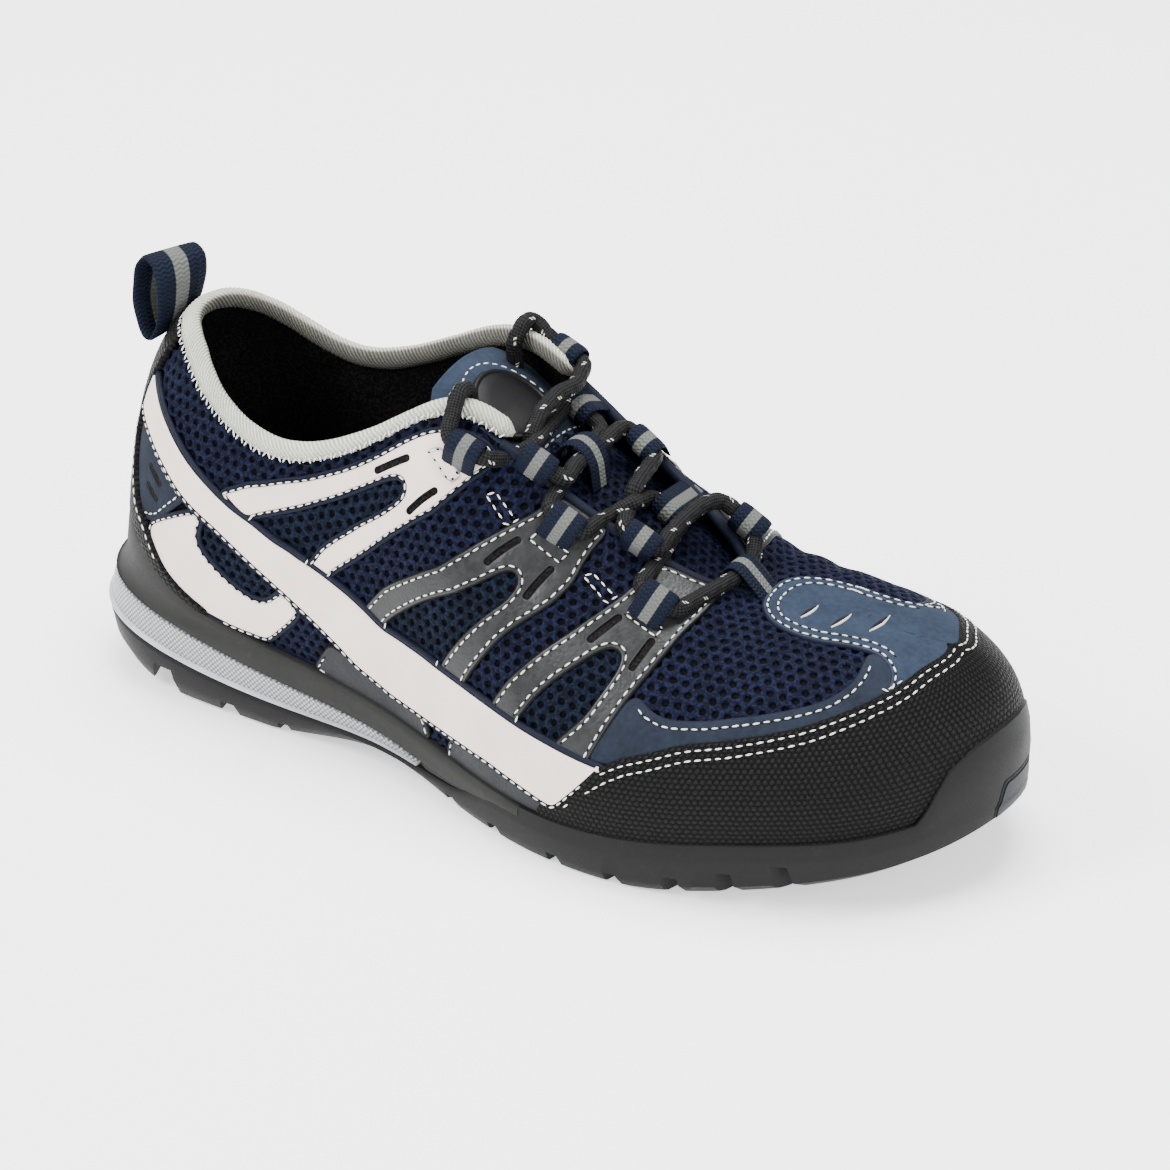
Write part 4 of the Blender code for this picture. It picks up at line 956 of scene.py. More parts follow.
# perforated knit: one six-sided cell with a well per lattice point, merged and rounded
knitTree, given, result, add = newTree("perforatedKnit", {"Pitch": "Float", "Hole": "Float", "Depth": "Float",
                                                          "Paint": "Material"})
reach = add("ShaderNodeMath", {"operation": "DIVIDE"}, {0: given["Pitch"], 1: math.sqrt(3)})[0]
cell = add("GeometryNodeMeshCircle", {"fill_type": "NGON"}, {"Vertices": 6, "Radius": reach})["Mesh"]
cell = add("GeometryNodeTransform", {}, {"Geometry": cell, "Rotation": (0, 0, math.pi / 6)})[0]
step = add("GeometryNodeExtrudeMesh", {"mode": "FACES"}, {"Mesh": cell, "Offset Scale": 0.0})
cell = add("GeometryNodeScaleElements", {"domain": "FACE"},
           {"Geometry": step["Mesh"], "Selection": step["Top"], "Scale": given["Hole"]})[0]
down = add("ShaderNodeMath", {"operation": "MULTIPLY"}, {0: given["Depth"], 1: -1.0})[0]
down = add("ShaderNodeCombineXYZ", {}, {"Z": down})[0]
well = add("GeometryNodeExtrudeMesh", {"mode": "FACES"},
           {"Mesh": cell, "Selection": step["Top"], "Offset": down, "Offset Scale": 1.0})
cell = add("GeometryNodeScaleElements", {"domain": "FACE"},
           {"Geometry": well["Mesh"], "Selection": well["Top"], "Scale": 0.85})[0]
cell = add("GeometryNodeDeleteGeometry", {"domain": "FACE"}, {"Geometry": cell, "Selection": well["Top"]})[0]
copies = add("GeometryNodeInstanceOnPoints", {}, {"Points": given["Geometry"], "Instance": cell})[0]
solid = add("GeometryNodeRealizeInstances", {}, {"Geometry": copies})[0]
near = add("ShaderNodeMath", {"operation": "MULTIPLY"}, {0: given["Pitch"], 1: 0.05})[0]
solid = add("GeometryNodeMergeByDistance", {}, {"Geometry": solid, "Distance": near})[0]
solid = add("GeometryNodeSubdivisionSurface", {}, {"Mesh": solid, "Level": 1})[0]
solid = add("GeometryNodeSetShadeSmooth", {}, {"Geometry": solid})[0]
solid = add("GeometryNodeSetMaterial", {}, {"Geometry": solid, "Material": given["Paint"]})[0]
knitTree.links.new(solid, result["Geometry"])

# open windows of knit between the panels, a little larger than what shows
knitSize = dict(pitch=3.55, hole=0.64, depth=0.75, top=0.5)
windows = (
    ((0.40, 0.86), (1.05, 0.84), (1.55, 0.82), (1.95, 0.78), (2.35, 0.73), (2.58, 0.82), (2.80, 0.88),
     (3.08, 0.92), (3.40, 0.94), (4.80, 0.945), (5.35, 0.95), (5.35, 1.0), (4.9, 1.03), (4.0, 1.03),
     (3.0, 1.03), (2.0, 1.03), (1.0, 1.03), (0.40, 1.03)),
    ((2.72, 0.67), (2.85, 0.76), (3.10, 0.81), (3.45, 0.85), (3.86, 0.865), (4.25, 0.86), (4.60, 0.82),
     (4.60, 0.76), (4.40, 0.72), (3.95, 0.69), (3.70, 0.65), (3.55, 0.60), (3.40, 0.53), (3.10, 0.60)),
    ((2.26, 0.60), (2.28, 0.44), (2.45, 0.36), (2.72, 0.29), (2.95, 0.26), (3.10, 0.30), (3.16, 0.42),
     (2.90, 0.50), (2.60, 0.57)),
    ((2.92, 0.03), (3.36, 0.33), (3.62, 0.24), (3.70, 0.17), (3.46, 0.03)),
    ((4.70, 0.01), (4.70, 0.13), (5.28, 0.13), (5.22, 0.01)),
    ((3.55, 0.50), (3.90, 0.61), (4.28, 0.65), (4.66, 0.68), (4.95, 0.72), (5.10, 0.78), (5.25, 0.85),
     (5.38, 0.93), (5.30, 1.0), (6.00, 1.0), (5.95, 0.90), (5.82, 0.79), (5.66, 0.70), (5.45, 0.61),
     (5.15, 0.53), (4.78, 0.49), (4.35, 0.455), (4.12, 0.38), (3.85, 0.42)),
    ((4.22, 0.32), (4.55, 0.43), (4.95, 0.485), (5.25, 0.54), (5.50, 0.60), (5.70, 0.67), (5.85, 0.71),
     (5.95, 0.66), (5.88, 0.57), (5.66, 0.48), (5.46, 0.40), (5.25, 0.28)),
    ((5.38, 0.27), (5.56, 0.41), (5.74, 0.50), (5.92, 0.58), (6.08, 0.66), (6.18, 0.75), (6.20, 0.83),
     (6.25, 1.0), (6.80, 1.0), (6.73, 0.86), (6.64, 0.75), (6.54, 0.68), (6.40, 0.59), (6.24, 0.51),
     (6.10, 0.44), (5.97, 0.38), (5.85, 0.27)),
    ((5.95, 0.27), (6.10, 0.40), (6.22, 0.46), (6.38, 0.54), (6.52, 0.60), (6.66, 0.65), (6.82, 0.62),
     (6.80, 0.54), (6.71, 0.45), (6.62, 0.38), (6.50, 0.27)),
    ((7.30, 1.0), (7.24, 0.86), (7.10, 0.76), (7.00, 0.66), (6.90, 0.55), (7.00, 0.43), (7.26, 0.405),
     (7.64, 0.412), (8.10, 0.437), (8.50, 0.485), (8.78, 0.535), (8.96, 0.61), (9.12, 0.76), (9.16, 0.83),
     (8.85, 0.855), (8.55, 0.865), (8.35, 0.89), (8.20, 0.95), (8.25, 1.0)),
)


# (p, v) on the skin below points of a flat chart
def fromChart(centre, first, second, start, flat, box):
    p, v = np.full(len(flat), start[0]), np.full(len(flat), start[1])
    for _ in range(14):
        alongP, alongV = skinFrame(p, v)[1:]
        miss = skinAt(p, v) - centre
        r, s = flat[:, 0] - miss @ first, flat[:, 1] - miss @ second
        a, b, c, d = alongP @ first, alongV @ first, alongP @ second, alongV @ second
        det = a * d - b * c
        det = np.where(np.abs(det) < 50, 50 * np.sign(det + 1e-9), det)
        p = np.clip(p + np.clip((d * r - b * s) / det, -0.5, 0.5), box[0], box[1])
        v = np.clip(v + np.clip((a * s - c * r) / det, -0.2, 0.2), box[2], box[3])
    miss = skinAt(p, v) - centre
    return p, v, np.hypot(flat[:, 0] - miss @ first, flat[:, 1] - miss @ second)


def meshArrays(mesh):
    spots = np.zeros(len(mesh.vertices) * 3)
    mesh.vertices.foreach_get("co", spots)
    return spots.reshape(-1, 3), [tuple(face.vertices) for face in mesh.polygons]


def lattice(low, high, pitch):
    found = []
    rise = pitch * math.sqrt(3) / 2
    for row in range(int(low[1] // rise) - 1, int(high[1] // rise) + 2):
        for column in range(int(low[0] // pitch) - 1, int(high[0] // pitch) + 2):
            found.append((column * pitch + (pitch / 2 if row % 2 else 0), row * rise))
    return np.array(found)


# knit over flat lattice points
def growKnit(flat):
    sizes = {"Pitch": knitSize["pitch"], "Hole": knitSize["hole"], "Depth": knitSize["depth"],
             "Paint": paints["mesh"]}
    made = grow(knitTree, np.c_[flat, np.zeros(len(flat))], {}, sizes)
    spots, faces = meshArrays(made)
    bpy.data.meshes.remove(made)
    return spots, faces


for side, name in ((1, "knitOuter"), (-1, "knitInner")):
    bodies, tints = [], []
    for number, window in enumerate(windows):
        line = np.array(window)
        line[:, 0] = onSide(line[:, 0], side)
        middle = line.mean(0)
        centre = skinAt(middle[:1], middle[1])[0]
        normal, alongP, alongV = (one[0] for one in skinFrame(middle[:1], middle[1]))
        first = unit(alongP)
        second = np.cross(normal, first)
        dense = denseLine(window, 3.0, True)
        edge = skinAt(onSide(dense[:, 0], side), dense[:, 1]) - centre
        chart = np.stack([edge @ first, edge @ second], 1)
        flat = lattice(chart.min(0), chart.max(0), knitSize["pitch"])
        box = (line[:, 0].min() - 0.4, line[:, 0].max() + 0.4, max(line[:, 1].min() - 0.1, -0.02),
               max(line[:, 1].max(), 1.0))
        p, v, miss = fromChart(centre, first, second, middle, flat, box)
        keep = inside(p, v, line) & (miss < 0.1)
        flat = flat[keep]
        if len(flat) < 3:
            continue
        spots, faces = growKnit(flat)
        p, v, miss = fromChart(centre, first, second, middle, spots[:, :2], box)
        bodies.append((onSkin(p, v, spots[:, 2] + knitSize["top"]), faces))
        tints += [1 if number in (1, 2, 6, 8) else 0] * len(faces)    # darker knit inside the forks
    spots, faces = joined(bodies)
    seat(newPiece(name, spots, faces, [paints["mesh"], paints["deep"]], tints), "mesh_navy")
    print(name, "faces", len(faces))


# sole
def soleSizes(at):
    row = readRing(soleTable, soleSlopes, at)
    names = ("bottom", "bottomOut", "edge", "edgeOut", "wedge", "wedgeOut", "rimOut")
    return {name: row[:, k] for k, name in enumerate(names)}


def beside(at, up, lift):
    return skinAt(at, up) + np.reshape(lift, (-1, 1)) * skinFrame(at, up)[0]


gap = 0.35


# rows of the outsole from its underside up the side and over the rim
def soleProfile(at):
    size = soleSizes(at)
    side = np.minimum(at % stations, stations - at % stations)
    low = np.maximum(size["bottom"], 0)
    tall = size["edge"] - low
    rim = rimHeight(at)
    feather = readRing(lastTable[:, 2:3], lastSlopes[:, 2:3], at)[:, 0]
    sideOut = 0.25 * size["bottomOut"] + 0.75 * size["edgeOut"] + 0.4
    rimOut = size["rimOut"]
    seatUp = size["edge"] - 0.9 * np.clip((3 - side) / 1.5, 0, 1)
    blend = np.clip((side - 5.15) / 0.75, 0, 1)
    blend = (blend * blend * (3 - 2 * blend))[:, None]
    heelRows = [ledge(at, size["edgeOut"] + out, size["edge"] - down)
                for out, down in ((0.05, 1.6), (-0.05, 0.8), (-0.4, 0.25), (-1.0, 0))]
    heelRows += [ledge(at, gap + out, seatUp) for out in (1.2, 0.6, 0)]
    frontRows = [ledge(at, rimOut + out, feather - down) for out, down in ((0.9, 2.2), (0.8, 1.0))]
    frontRows += [beside(at, share * rim, lift)
                  for share, lift in ((0.3, rimOut + 0.5), (0.65, rimOut + 0.2), (0.92, 0.95 * rimOut),
                                      (1, 0.55 * rimOut), (0.9, 0.0 * rimOut))]
    lowOut = size["bottomOut"] + 0.45 * (sideOut - size["bottomOut"])
    sides = [ledge(at, size["bottomOut"], low), ledge(at, lowOut, low + 0.1 * tall),
             ledge(at, sideOut, low + 0.45 * tall)]
    return sides + [(1 - blend) * a + blend * b for a, b in zip(heelRows, frontRows)]


soleColumns = 22 * 14
soleSides = soleProfile(np.arange(soleColumns) * stations / soleColumns)
faces = bandFaces(len(soleSides), soleColumns, True)
faces += rungs(0, soleColumns, True) + rungs((len(soleSides) - 1) * soleColumns, soleColumns, True)
outsole = newPiece("treadSole", np.concatenate(soleSides), faces, [paints["rubber"]], weld=0.002)
# notches between the lugs: x at the centre line, turn, height of the underside, width, depth
notches = ((25, 20, 3.5, 10, 6.5), (53, 12, 0, 8, 5.2), (76, 6, 0, 6, 4), (149, -8, 1, 6, 4),
           (169, -10, 0, 6, 4), (194, -12, 0, 6, 4), (216, -15, 0, 6, 4), (236, -18, 3, 6, 4),
           (253, -22, 7, 5.5, 4), (269, -26, 11, 5, 4))
points, faces = [], []
for x, turn, under, wide, deep in notches:
    for side in (-1, 1):
        swing = math.radians(turn)
        first = len(points)
        for across in (7, 78):
            for share, height in ((-0.62, -5.0), (0.62, -5.0), (0.3, under + deep), (-0.3, under + deep)):
                step = share * wide
                aside = across * math.cos(swing) - step * math.sin(swing)
                points.append((x + step * math.cos(swing) + across * math.sin(swing),
                               rowOrigin[1] + side * aside, height))
        quads = ((0, 1, 2, 3), (7, 6, 5, 4), (0, 4, 5, 1), (1, 5, 6, 2), (2, 6, 7, 3), (3, 7, 4, 0))
        faces += [tuple(first + k for k in quad) for quad in quads]
cutter = newPiece("lugCutter", points, faces, [paints["rubber"]], weld=0.0001)
cut = outsole.modifiers.new("lugs", "BOOLEAN")
cut.operation, cut.solver, cut.object = "DIFFERENCE", "EXACT", cutter
made = bpy.data.meshes.new_from_object(outsole.evaluated_get(bpy.context.evaluated_depsgraph_get()))
outsole.modifiers.remove(cut)
outsole.data = made
bpy.data.objects.remove(cutter, do_unlink=True)
made.shade_smooth()
made.set_sharp_from_angle(angle=math.radians(32))
seat(outsole, "rubber_black", "outsole")

# midsole with the heel cup
midColumns = 12 * 14
at = np.linspace(-6.0, 6.0, midColumns + 1)
size = soleSizes(at)
rim = rimHeight(at)
feather = readRing(lastTable[:, 2:3], lastSlopes[:, 2:3], at)[:, 0]
channel = size["wedgeOut"] - np.interp(np.abs(at), (0, 4.4, 4.8, 6), (2.8, 2.8, 0.5, 0.5))
rimOut = size["rimOut"]
middleOut = 0.6 * size["wedgeOut"] + 1.4
middleUp = np.maximum(0.75 * feather + 0.25 * size["wedge"], size["wedge"] + 1.2)
midRows = [ledge(at, out, up) for out, up in (
    (channel, size["edge"] + gap), (channel, size["wedge"]), (size["wedgeOut"] - 0.5, size["wedge"]),
    (size["wedgeOut"], size["wedge"] + 0.5),
    (0.5 * (size["wedgeOut"] + middleOut) + 0.1, 0.5 * (size["wedge"] + middleUp)), (middleOut, middleUp))]
midRows += [beside(at, share * rim, lift) for share, lift in (
    (0.25, rimOut + 0.75), (0.5, rimOut + 0.5), (0.8, rimOut + 0.15), (0.96, 0.85 * rimOut),
    (1, 0.45 * rimOut), (0.95, -0.2 * np.ones(len(at))))]
midRows.append(ledge(at, gap, feather - gap))
count = len(at)
lastRow = (len(midRows) - 1) * count
faces = bandFaces(len(midRows), count, False) + rungs(0, count, False) + rungs(lastRow, count, False)
faces.append((0, count - 1, lastRow + count - 1, lastRow))
faces += endCaps(len(midRows), count)
midsole = newPiece("heelCup", np.concatenate(midRows), faces, [paints["foam"]], weld=0.002, sharp=40)
seat(midsole, "foam_grey", "midsole")

# silver wedge with a bead along its lower edge
at = np.linspace(-4.667, 4.667, 180)
size = soleSizes(at)
inner = size["wedgeOut"] - 2.45
foot, head = size["edge"] + gap, size["wedge"] - gap
tall = head - foot
beadForm = ((0.05, 0), (0.5, 0.04), (0.6, 0.085), (0.2, 0.13), (-0.45, 0.16))    # out, share of the height
wedgeRows = [ledge(at, inner, foot)]
wedgeRows += [ledge(at, size["edgeOut"] + out, foot + share * tall) for out, share in beadForm]
wedgeRows += [ledge(at, 0.5 * (size["edgeOut"] + size["wedgeOut"]) - 0.1, foot + 0.6 * tall)]
wedgeRows += [ledge(at, size["wedgeOut"] - back, head - down) for back, down in ((0, 0.3), (0.4, 0))]
wedgeRows += [ledge(at, inner, head)]
points = np.concatenate(wedgeRows + [wedgeRows[0]])
count = len(at)
faces = bandFaces(len(wedgeRows) + 1, count, False)
tints = np.repeat([1] * 5 + [0] * 5, count - 1).tolist() + [0, 0]    # the lower rows are the bead
faces += endCaps(len(wedgeRows), count)
run = runAlong(wedgeRows[5])
flow = np.concatenate([np.stack([run, row[:, 2]], 1) for row in wedgeRows + [wedgeRows[0]]]) * 0.001
wedge = newPiece("heelWedge", points, faces, [paints["silver"], paints["bead"]], tints, flow, weld=0.002,
                 sharp=50)
seat(wedge, "wedge_silver", "heel_wedge")

# plate let into the toe bumper: a dark border and the plate in it
for name, paint, lift, ends, span in (("plateBorder", "needle", 0.12, (10.63, 11.44), (0.2, 4.75)),
                                      ("toePlate", "plate", 0.34, (10.67, 11.40), (0.3, 4.6))):
    at = np.linspace(*ends, 28)
    rows = np.array(soleProfile(at)[:8])
    rows[:, :, :2] += lift * outward(at)
    steps = np.linspace(0, 1, 22)
    reach = span[1] - span[0] - 1.6 * np.clip((ends[0] + 0.16 - at) / 0.16, 0, 1)**2
    height = span[0] + steps[:, None] * reach
    low = np.floor(height).astype(int)
    share = (height - low)[..., None]
    columns = np.arange(len(at))
    grid = (1 - share) * rows[low, columns] + share * rows[low + 1, columns]
    back = grid.copy()
    back[:, :, :2] -= 1.2 * outward(at)
    count, deep = len(at), len(steps)
    faces = bandFaces(deep, count, False)
    faces += [tuple(deep * count + k for k in face[::-1]) for face in faces]
    edge = gridEdge(deep, count)
    faces += [(b, a, deep * count + a, deep * count + b) for a, b in zip(edge, edge[1:] + edge[:1])]
    points = np.concatenate([grid.reshape(-1, 3), back.reshape(-1, 3)])
    seat(newPiece(name, points, faces, [paints[paint]], weld=0.002, sharp=50), "rubber_black")
print("sole made")


# section swept along a path; section points (across, up) may change along it
def swept(name, centres, acrossAxis, upAxis, section, materials, flow=None, shut=False, **more):
    rows = [centres + np.reshape(a, (-1, 1)) * acrossAxis + np.reshape(b, (-1, 1)) * upAxis
            for a, b in section]
    count = len(centres)
    rows.append(rows[0])
    faces = bandFaces(len(rows), count, shut)
    if not shut:
        faces += endCaps(len(section), count)
    return newPiece(name, np.concatenate(rows), faces, materials, flow=flow, weld=0.002, **more)


def refined(points, step, shut=False):
    points = np.asarray(points, float)
    if shut:
        points = np.concatenate([points, points[:1]])
    run = runAlong(points)
    count = max(2, int(round(run[-1] / step)))
    at = np.linspace(0, run[-1], count + 1)
    return np.stack([np.interp(at, run, points[:, k]) for k in range(points.shape[1])], 1)


# collar binding
bindingSize = dict(end=5.45, wide=2.6, near=2.9, heel=3.4, far=3.6, top=7.3)
at = np.linspace(-bindingSize["end"], bindingSize["end"], 800)
top = skinAt(at, 1.0)
rise = unit(top - skinAt(at, 0.97))
facing = unit(np.cross(np.gradient(top, axis=0), rise))
heights = [bindingSize[k] for k in ("far", "far", "heel", "heel", "near", "near")]
tall = np.interp(at, (-5, -1.5, 0, 1.6, 2.4, 5), heights)
lump = 1 + 0.03 * np.sin(at * 9.1) * np.sin(at * 3.7 + 1)
taper = np.sqrt(np.clip((bindingSize["end"] - np.abs(at)) / 0.10, 0.1, 1)) * lump
centres = top + (bindingSize["top"] - tall)[:, None] * rise - 0.7 * facing
run = runAlong(centres)
ring = []
for k in range(20):
    a = k * math.pi / 10
    knit = taper + 0.045 * np.sin(run * 4.6 + k * 1.3 * 2.6) * np.clip(taper, 0, 1)    # ribs of the knit
    ring.append((knit * bindingSize["wide"] * math.cos(a), knit * tall * math.sin(a)))
flow = np.concatenate([np.stack([run, np.full(len(run), k * 1.3)], 1) for k in range(21)]) * 0.001
binding = swept("collarEdge", centres, facing, rise, ring, [paints["cream"]], flow)
seat(binding, "binding_cream", "collar_binding")
# zigzag thread along its lower edge
places = np.interp(np.arange(2.0, run[-1] - 2.0, 1.7), run, np.arange(len(run))).astype(int)
tilt = np.where(np.arange(len(places)) % 2, 0.55, -0.55)[:, None]
lowEdge = centres + 0.93 * bindingSize["wide"] * facing - (0.55 * tall)[:, None] * rise
way = rise[places] + tilt * unit(np.gradient(centres, axis=0))[places]
threads["white"].append(np.concatenate([lowEdge[places] - 0.9 * rise[places], facing[places], unit(way)], 1))

# piping along the throat
at = np.concatenate([np.linspace(5.4, 8.0, 90), np.linspace(14.0, stations - 5.4, 90)])
top = skinAt(at, 1.0)
rise = unit(top - skinAt(at, 0.97))
top = np.concatenate([top[:88], softened(top[86:94], 2, False)[2:-2], top[92:]])
facing = unit(np.cross(np.gradient(top, axis=0), rise))
ring = [(1.7 * math.cos(a), 1.7 * math.sin(a)) for a in np.arange(12) * math.pi / 6]
piping = swept("throatPiping", top - 0.6 * facing + 0.2 * rise, facing, rise, ring, [paints["edgeNavy"]])
seat(piping, "webbing_navy")

# tongue: x, half width, height in the middle and at the edge
tongueRows = np.array(((228, 13, 62.3, 60.3), (214, 15, 64.8, 62.3), (200, 17, 68.3, 64.6),
                       (182, 19, 78.8, 73.3), (165, 20, 88.8, 82.4), (148, 22, 97, 90.6),
                       (136, 24.5, 103, 96), (126, 25, 108.8, 102.5), (121, 22.5, 112, 106.5),
                       (118, 16, 113.8, 110.5)))
tongueX = np.concatenate([np.linspace(118, 122, 10), np.linspace(123, 228, 90)])


def tongueAt(x, t):
    half, mid, edge = (np.interp(x, tongueRows[::-1, 0], tongueRows[::-1, k]) for k in (1, 2, 3))
    return np.stack([x, 1.0 + t * half, mid - (mid - edge) * t * t], -1)


def overTongue(x, t, lift):
    slope = tongueAt(x + 1.5, t) - tongueAt(x - 1.5, t)
    side = tongueAt(x, t + 0.03) - tongueAt(x, t - 0.03)
    return tongueAt(x, t) + np.broadcast_to(lift, x.shape)[..., None] * unit(np.cross(slope, side))


across = np.linspace(-1, 1, 25)
gridX, gridT = np.meshgrid(tongueX, across, indexing="ij")
# soft swell of the top end
pad = 0.9 * np.clip((gridX - 119) / 4, 0, 1) * np.clip((150 - gridX) / 5, 0, 1) * (1 - gridT**2)
upper = overTongue(gridX, gridT, pad)
thick = 4.0 * (1 - 0.75 * np.abs(gridT)**3) * np.clip((gridX - 117.2) / 3, 0.25, 1)
under = overTongue(gridX, gridT, -thick)
count = len(across)
points = np.concatenate([upper.reshape(-1, 3), under.reshape(-1, 3)])
deep = len(tongueX)
faces, tints = [], []
# top face: lighter nubuck at the top end as painted sheen, near-black under the knit as painted shade in its
# holes; plush lining underneath
for r in range(deep - 1):
    for k in range(count - 1):
        quad = (r * count + k, (r + 1) * count + k, (r + 1) * count + k + 1, r * count + k + 1)
        faces += [quad, tuple(deep * count + one for one in quad[::-1])]
        tints += [0 if gridX[r, k] < 149 else 1, 2]
border = gridEdge(deep, count)
for a, b in zip(border, border[1:] + border[:1]):
    faces.append((a, b, deep * count + b, deep * count + a))
    tints.append(0)
tongue = newPiece("tonguePad", points, faces, [paints["nubuckPaintedSheen"], paints["under"], paints["lining"]], tints,
                  weld=0.002)
seat(tongue, "mesh_navy", "tongue")

# flat chart of the tongue: length along its middle, distance across
chartX = np.linspace(118, 228, 221)
chartRun = runAlong(tongueAt(chartX, 0 * chartX))


def fromTongueChart(flat):
    x = np.interp(flat[:, 0], chartRun, chartX)
    return x, (flat[:, 1] - 1.0) / np.interp(x, tongueRows[::-1, 0], tongueRows[::-1, 1])


def runAt(x):
    return float(np.interp(x, chartX, chartRun))


flat = lattice((runAt(149), -20), (runAt(224), 22), knitSize["pitch"])
x, t = fromTongueChart(flat)
flat = flat[(x > 150.5) & (x < 222) & (np.abs(t) < 0.92)]
spots, faces = growKnit(flat)
x, t = fromTongueChart(spots)
seat(newPiece("tongueKnit", overTongue(x, t, spots[:, 2] + 0.6), faces, [paints["mesh"]]), "mesh_navy")

# plain round patch on the tongue
patchSize = dict(x=135.0, y=-1.0, seam=15.6, scale=1.2)
rings = ((0.05, 2.0), (3, 2.0), (6, 2.0), (8.7, 2.0), (9.1, 1.8), (9.5, 2.15), (10.1, 2.2), (10.5, 1.8),
         (10.6, 0.2), (6, -0.6), (0.05, -0.6))
angles = np.arange(44) * 2 * math.pi / 44


def patchRing(radius, angles):
    along, aside = radius * np.cos(angles), radius * np.sin(angles)
    return np.stack([runAt(patchSize["x"]) + along, patchSize["y"] + aside], 1)


rows = []
for radius, lift in rings:
    x, t = fromTongueChart(patchRing(radius * patchSize["scale"], angles))
    rows.append(overTongue(x, t, lift))
faces = bandFaces(len(rows), len(angles), True)
faces += [tuple(range(len(angles))), tuple((len(rows) - 1) * len(angles) + k for k in range(len(angles)))]
seat(newPiece("tonguePatch", np.concatenate(rows), faces, [paints["patch"]], weld=0.002, sharp=50),
     "rubber_black")


def tongueSeam(line, lift, pitch=3.1):
    line = refined(line, pitch)
    x, t = fromTongueChart(line)
    spots = overTongue(x, t, lift)
    facing = unit(overTongue(x, t, lift + 1.0) - spots)
    threads["white"].append(np.concatenate([spots, facing, unit(np.gradient(spots, axis=0))], 1))


tongueSeam(patchRing(patchSize["seam"], np.radians(np.linspace(80, 280, 60))), 0.75)
tongueSeam(((runAt(148.6), -17), (runAt(148.6), 19)), 0.45)

# lace loops: side, number, middle of the lace in the loop, station, how its foot lies
loopSpots = (
    ("outer", 1, (139, -31.4, 104.4), 5.18, "low"),
    ("outer", 2, (159, -21.4, 99.1), 5.70, "edge"),
    ("outer", 3, (168.4, -27.7, 88.4), 6.06, "low"),
    ("outer", 4, (186.3, -17.8, 83.3), 6.52, "edge"),
    ("outer", 5, (197.2, -27.7, 72.5), 6.84, "low"),
    ("inner", 1, (140, 22, 112), 16.72, "over"),
    ("inner", 2, (152, 12, 99.6), 16.33, "edge"),
    ("inner", 3, (168.4, 13.5, 95.2), 15.86, "over"),
    ("inner", 4, (182, 4, 81.5), 15.47, "edge"),
    ("inner", 5, (200, 13, 81), 14.97, "over"),
)
loopSize = dict(wide=10.0, thick=1.1, round=3.35)


def wallFrame(at, up):
    base = skinAt(np.array((at, at)), np.array((up, up + 0.02)))
    rise = unit(base[1] - base[0])
    around = skinAt(np.array((at - 0.02, at + 0.02)), up)
    normal = unit(np.cross(around[1] - around[0], rise))
    heelward = np.cross(rise, normal)
    return base[0], rise, normal, heelward if heelward[0] < 0 else -heelward


# flat band with thin edges: shares of its width and of its thickness, upper side
def bandSection(shares, lifts, wide, thick):
    upper = [(share * wide, lift * thick) for share, lift in zip(shares, lifts)]
    return upper + [(across, -up) for across, up in upper[::-1]]


# flow across and along a band
def bandFlow(section, run, share=1.0):
    columns = [np.stack([np.full(len(run), across * share), run], 1) for across, up in section + section[:1]]
    return np.concatenate(columns) * 0.001


def webbingBand(path, upAxis, outAxis, sideAxis, origin, wide, thick):
    path = refined(path, 0.7)
    way = unit(np.gradient(path, axis=0))
    centres = origin + path[:, :1] * upAxis + path[:, 1:] * outAxis
    normal = -way[:, 1:] * upAxis + way[:, :1] * outAxis
    run = runAlong(path)
    shares = (-0.5, -0.42, -0.3, -0.16, -0.15, 0.0, 0.15, 0.16, 0.3, 0.42, 0.5)
    lifts = (0.1, 0.4, 0.5, 0.5, 0.5, 0.5, 0.5, 0.5, 0.5, 0.4, 0.1)
    section = bandSection(shares, lifts, wide, thick)
    rows = [centres + a * sideAxis + b * normal for a, b in section]
    count = len(centres)
    faces = bandFaces(len(rows) + 1, count, False) + endCaps(len(rows), count)
    return np.concatenate(rows + rows[:1]), faces, bandFlow(section, run)


# band from its foot around the lace and back
def loopPath(middle, foot, side, out):
    up = middle - foot
    up = up - (up @ side) * side
    deep = np.linalg.norm(up)
    up = up / deep
    face = np.cross(side, up)
    face = face if face @ out > 0 else -face
    radius = loopSize["round"]
    path = [(0.0, 0.7), (0.45 * deep, 0.6 * radius)]
    path += [(deep + radius * math.cos(a), radius * math.sin(a))
             for a in np.radians(np.arange(95, -100, -15))]
    path += [(0.45 * deep, -0.6 * radius), (0.0, -0.7)]
    return webbingBand(softened(refined(path, 0.5), 5, False), up, face, side, foot, loopSize["wide"],
                       loopSize["thick"])


holds, bands = {}, []
for word, number, middle, at, kind in loopSpots:
    middle = np.array(middle, float)
    edge, rise, normal, heelward = wallFrame(at, 0.985)
    foot = {"low": middle - 5.4 * rise - 4.8 * normal, "edge": edge - 1.0 * rise,
            "over": edge + 1.5 * normal - 1.0 * rise}[kind]
    holds[word, number] = (middle, heelward)
    bands.append(loopPath(middle, foot, heelward, normal + 0.3 * rise))
toeHold = np.array((207.4, 1.0, 70.7))
bands.append(loopPath(toeHold, np.array((216.5, 0.5, 65.6)), np.array((0, 1.0, 0)), np.array((0.3, 0, 1.0))))

